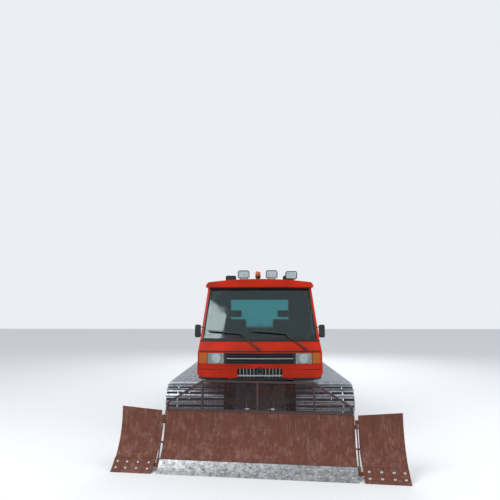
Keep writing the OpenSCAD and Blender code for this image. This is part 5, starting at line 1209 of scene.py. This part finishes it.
def foam_block(width, length, thick, r, bolster):
    """Foam in its own frame: a rounded box raised at its sides by bolster times a smooth step of |x|."""
    p, faces = soft_box((-width, width), (-length, length), (-thick, thick), r, 10)
    rise = np.clip((np.abs(p[:, 0]) / width - 0.62) / 0.25, 0, 1)
    rise = rise * rise * (3 - 2 * rise)
    p[:, 2] += bolster * rise * np.clip((p[:, 2] + thick) / (2 * thick), 0, 1)
    return p, faces


def read_rows(mesh, what="co"):
    """A mesh's points, or their normals, as rows."""
    values = np.empty(len(mesh.vertices) * 3)
    mesh.vertices.foreach_get(what, values)
    return values.reshape(-1, 3)


def settle(obj):
    """Turns an object's modifiers into its mesh."""
    depsgraph = bpy.context.evaluated_depsgraph_get()
    mesh = bpy.data.meshes.new_from_object(obj.evaluated_get(depsgraph))
    old = obj.data
    obj.modifiers.clear()
    obj.data = mesh
    bpy.data.meshes.remove(old)


def blow_up(obj):
    """Some frames of cloth under pressure and without gravity, kept as the object's mesh."""
    cloth = obj.modifiers.new("cloth", "CLOTH")
    cloth.settings.quality = 4
    cloth.settings.mass = 0.3
    cloth.settings.use_pressure = True
    cloth.settings.uniform_pressure_force = 4.0
    cloth.settings.effector_weights.gravity = 0.0
    cloth.collision_settings.use_collision = False
    for number in range(1, SWELL_FRAMES + 1):
        bpy.context.scene.frame_set(number)
    settle(obj)
    bpy.context.scene.frame_set(1)


def padded(obj):
    finer = obj.modifiers.new("finer", "SUBSURF")
    finer.levels = 1
    finer.render_levels = 1


def swollen(name, form, voxel, cap, channels, replaces=()):
    """Cover over foam: remeshed and blown up, each point held within cap of where it began, then drawn in by
    5 mm exp(-(distance / 5 mm)^2) along its sewn channels, given as (point on the seam, seam's normal)."""
    obj = piece(f"{name}_left", form, seat_cloth, replaces=replaces)
    remesh = obj.modifiers.new("remesh", "REMESH")
    remesh.mode = "VOXEL"
    remesh.voxel_size = voxel
    settle(obj)
    start = read_rows(obj.data)
    blow_up(obj)
    push = read_rows(obj.data) - start
    far = np.linalg.norm(push, axis=1, keepdims=True)
    shape = start + push * np.minimum(1.0, cap / np.maximum(far, 1e-9))
    normals = read_rows(obj.data, "normal")
    for point, way in channels:
        away = (shape - point) @ unit(way)
        shape = shape - SEAM * np.exp(-(away / SEAM) ** 2)[:, None] * normals
    obj.data.vertices.foreach_set("co", shape.ravel())
    obj.data.update()
    obj.data.shade_smooth()
    padded(obj)
    return obj


def beside(obj, name):
    """The same pad on the other seat, with its place in its mesh."""
    mesh = obj.data.copy()
    mesh.vertices.foreach_set("co", (read_rows(mesh) - 2 * SEAT_X * ACROSS).ravel())
    other = new_object(f"{name}_right", mesh)
    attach(other, "machine")
    padded(other)


back_up = unit(np.array([0.0, 0.140, 0.555]))
back_out = unit(np.array([0.0, -0.555, 0.140]))
cushion_mid = np.array([SEAT_X, -1.672, 1.474])
back_mid = np.array([SEAT_X, -1.352, 1.812])
rest_mid = np.array([SEAT_X, -1.252, 2.200])
cushion_form = stood(foam_block(0.226, 0.212, 0.050, 0.045, 0.030), cushion_mid)
back_form = stood(foam_block(0.226, 0.262, 0.040, 0.038, 0.030), back_mid, back_out, -ACROSS)
rest_form = stood(foam_block(0.118, 0.068, 0.036, 0.034, 0.0), rest_mid, back_out)
cushion_seams = [(cushion_mid + d * REAR, REAR) for d in (-0.10, -0.02, 0.06)]
back_seams = [(back_mid + d * back_up, back_up) for d in (-0.14, -0.05, 0.04, 0.13)]
cushion = swollen("seat_cushion", cushion_form, 0.010, 0.014, cushion_seams, ("seats",))
back = swollen("seat_back", back_form, 0.010, 0.012, back_seams)
rest = swollen("seat_headrest", rest_form, 0.008, 0.010, [(rest_mid, back_up)])
beside(cushion, "seat_cushion")
beside(back, "seat_back")
beside(rest, "seat_headrest")


# Floor, light, backdrop colour and the camera at the photograph's angle

FLOOR_EDGE = 60.0
# Each lamp as place, size and watts
LAMPS = {"key": ((-7, -9, 9), 6, 760), "fill": ((9, -6, 6), 7, 420), "rear": ((2, 11, 9), 7, 600)}
LIT_POINT = np.array([0, 0, 1.0])


def stage_set():
    """Floor, backdrop colour, three soft lamps and the camera."""
    floor_mesh = bpy.data.meshes.new("floor")
    corners = [(x * FLOOR_EDGE, y * FLOOR_EDGE, 0) for x, y in ((-1, -1), (1, -1), (1, 1), (-1, 1))]
    floor_mesh.from_pydata(corners, [], [(0, 1, 2, 3)])
    floor = new_object("floor", floor_mesh)
    material, tree, shader, _ = new_finish("pale_floor")
    feed(tree, shader, Base_Color="#E6E8EA", Roughness=0.85)
    floor_mesh.materials.append(material)
    world = bpy.data.worlds.new("studio")
    bpy.context.scene.world = world
    world.use_nodes = True
    tree = world.node_tree
    tree.nodes.clear()
    path = add(tree, "LightPath").outputs
    seen = path["Is Camera Ray"]
    for ray in ("Is Glossy Ray", "Is Transmission Ray"):
        seen = add(tree, "Math", MAXIMUM, seen, path[ray])
    glow = add(tree, "MapRange", CLAMPED, seen, 0.0, 1.0, 0.75, 0.92)
    sky = add(tree, "Background", Color="#F4F7FB", Strength=glow)
    add(tree, "OutputWorld", {}, sky)
    for name, (at, size, power) in LAMPS.items():
        data = bpy.data.lights.new(name, "AREA")
        data.size = size
        data.energy = power
        lamp = new_object(name, data)
        lamp.location = at
        x, y, z = LIT_POINT - at
        lamp.rotation_euler = (math.atan2(math.hypot(x, y), -z), 0, math.atan2(y, x) - math.pi / 2)
    data = bpy.data.cameras.new("camera")
    data.sensor_width = 36.0
    # The photograph is 500 pixels wide, and its lens as long as 440 of them
    data.lens = data.sensor_width * 440 / 500
    camera = new_object("camera", data)
    camera.location = (0.0, -10.295, 2.175)
    camera.rotation_euler = (math.radians(90 + 8.4), 0, math.radians(1.24))
    bpy.context.scene.camera = camera
    bpy.context.scene.view_settings.view_transform = "Standard"


stage_set()
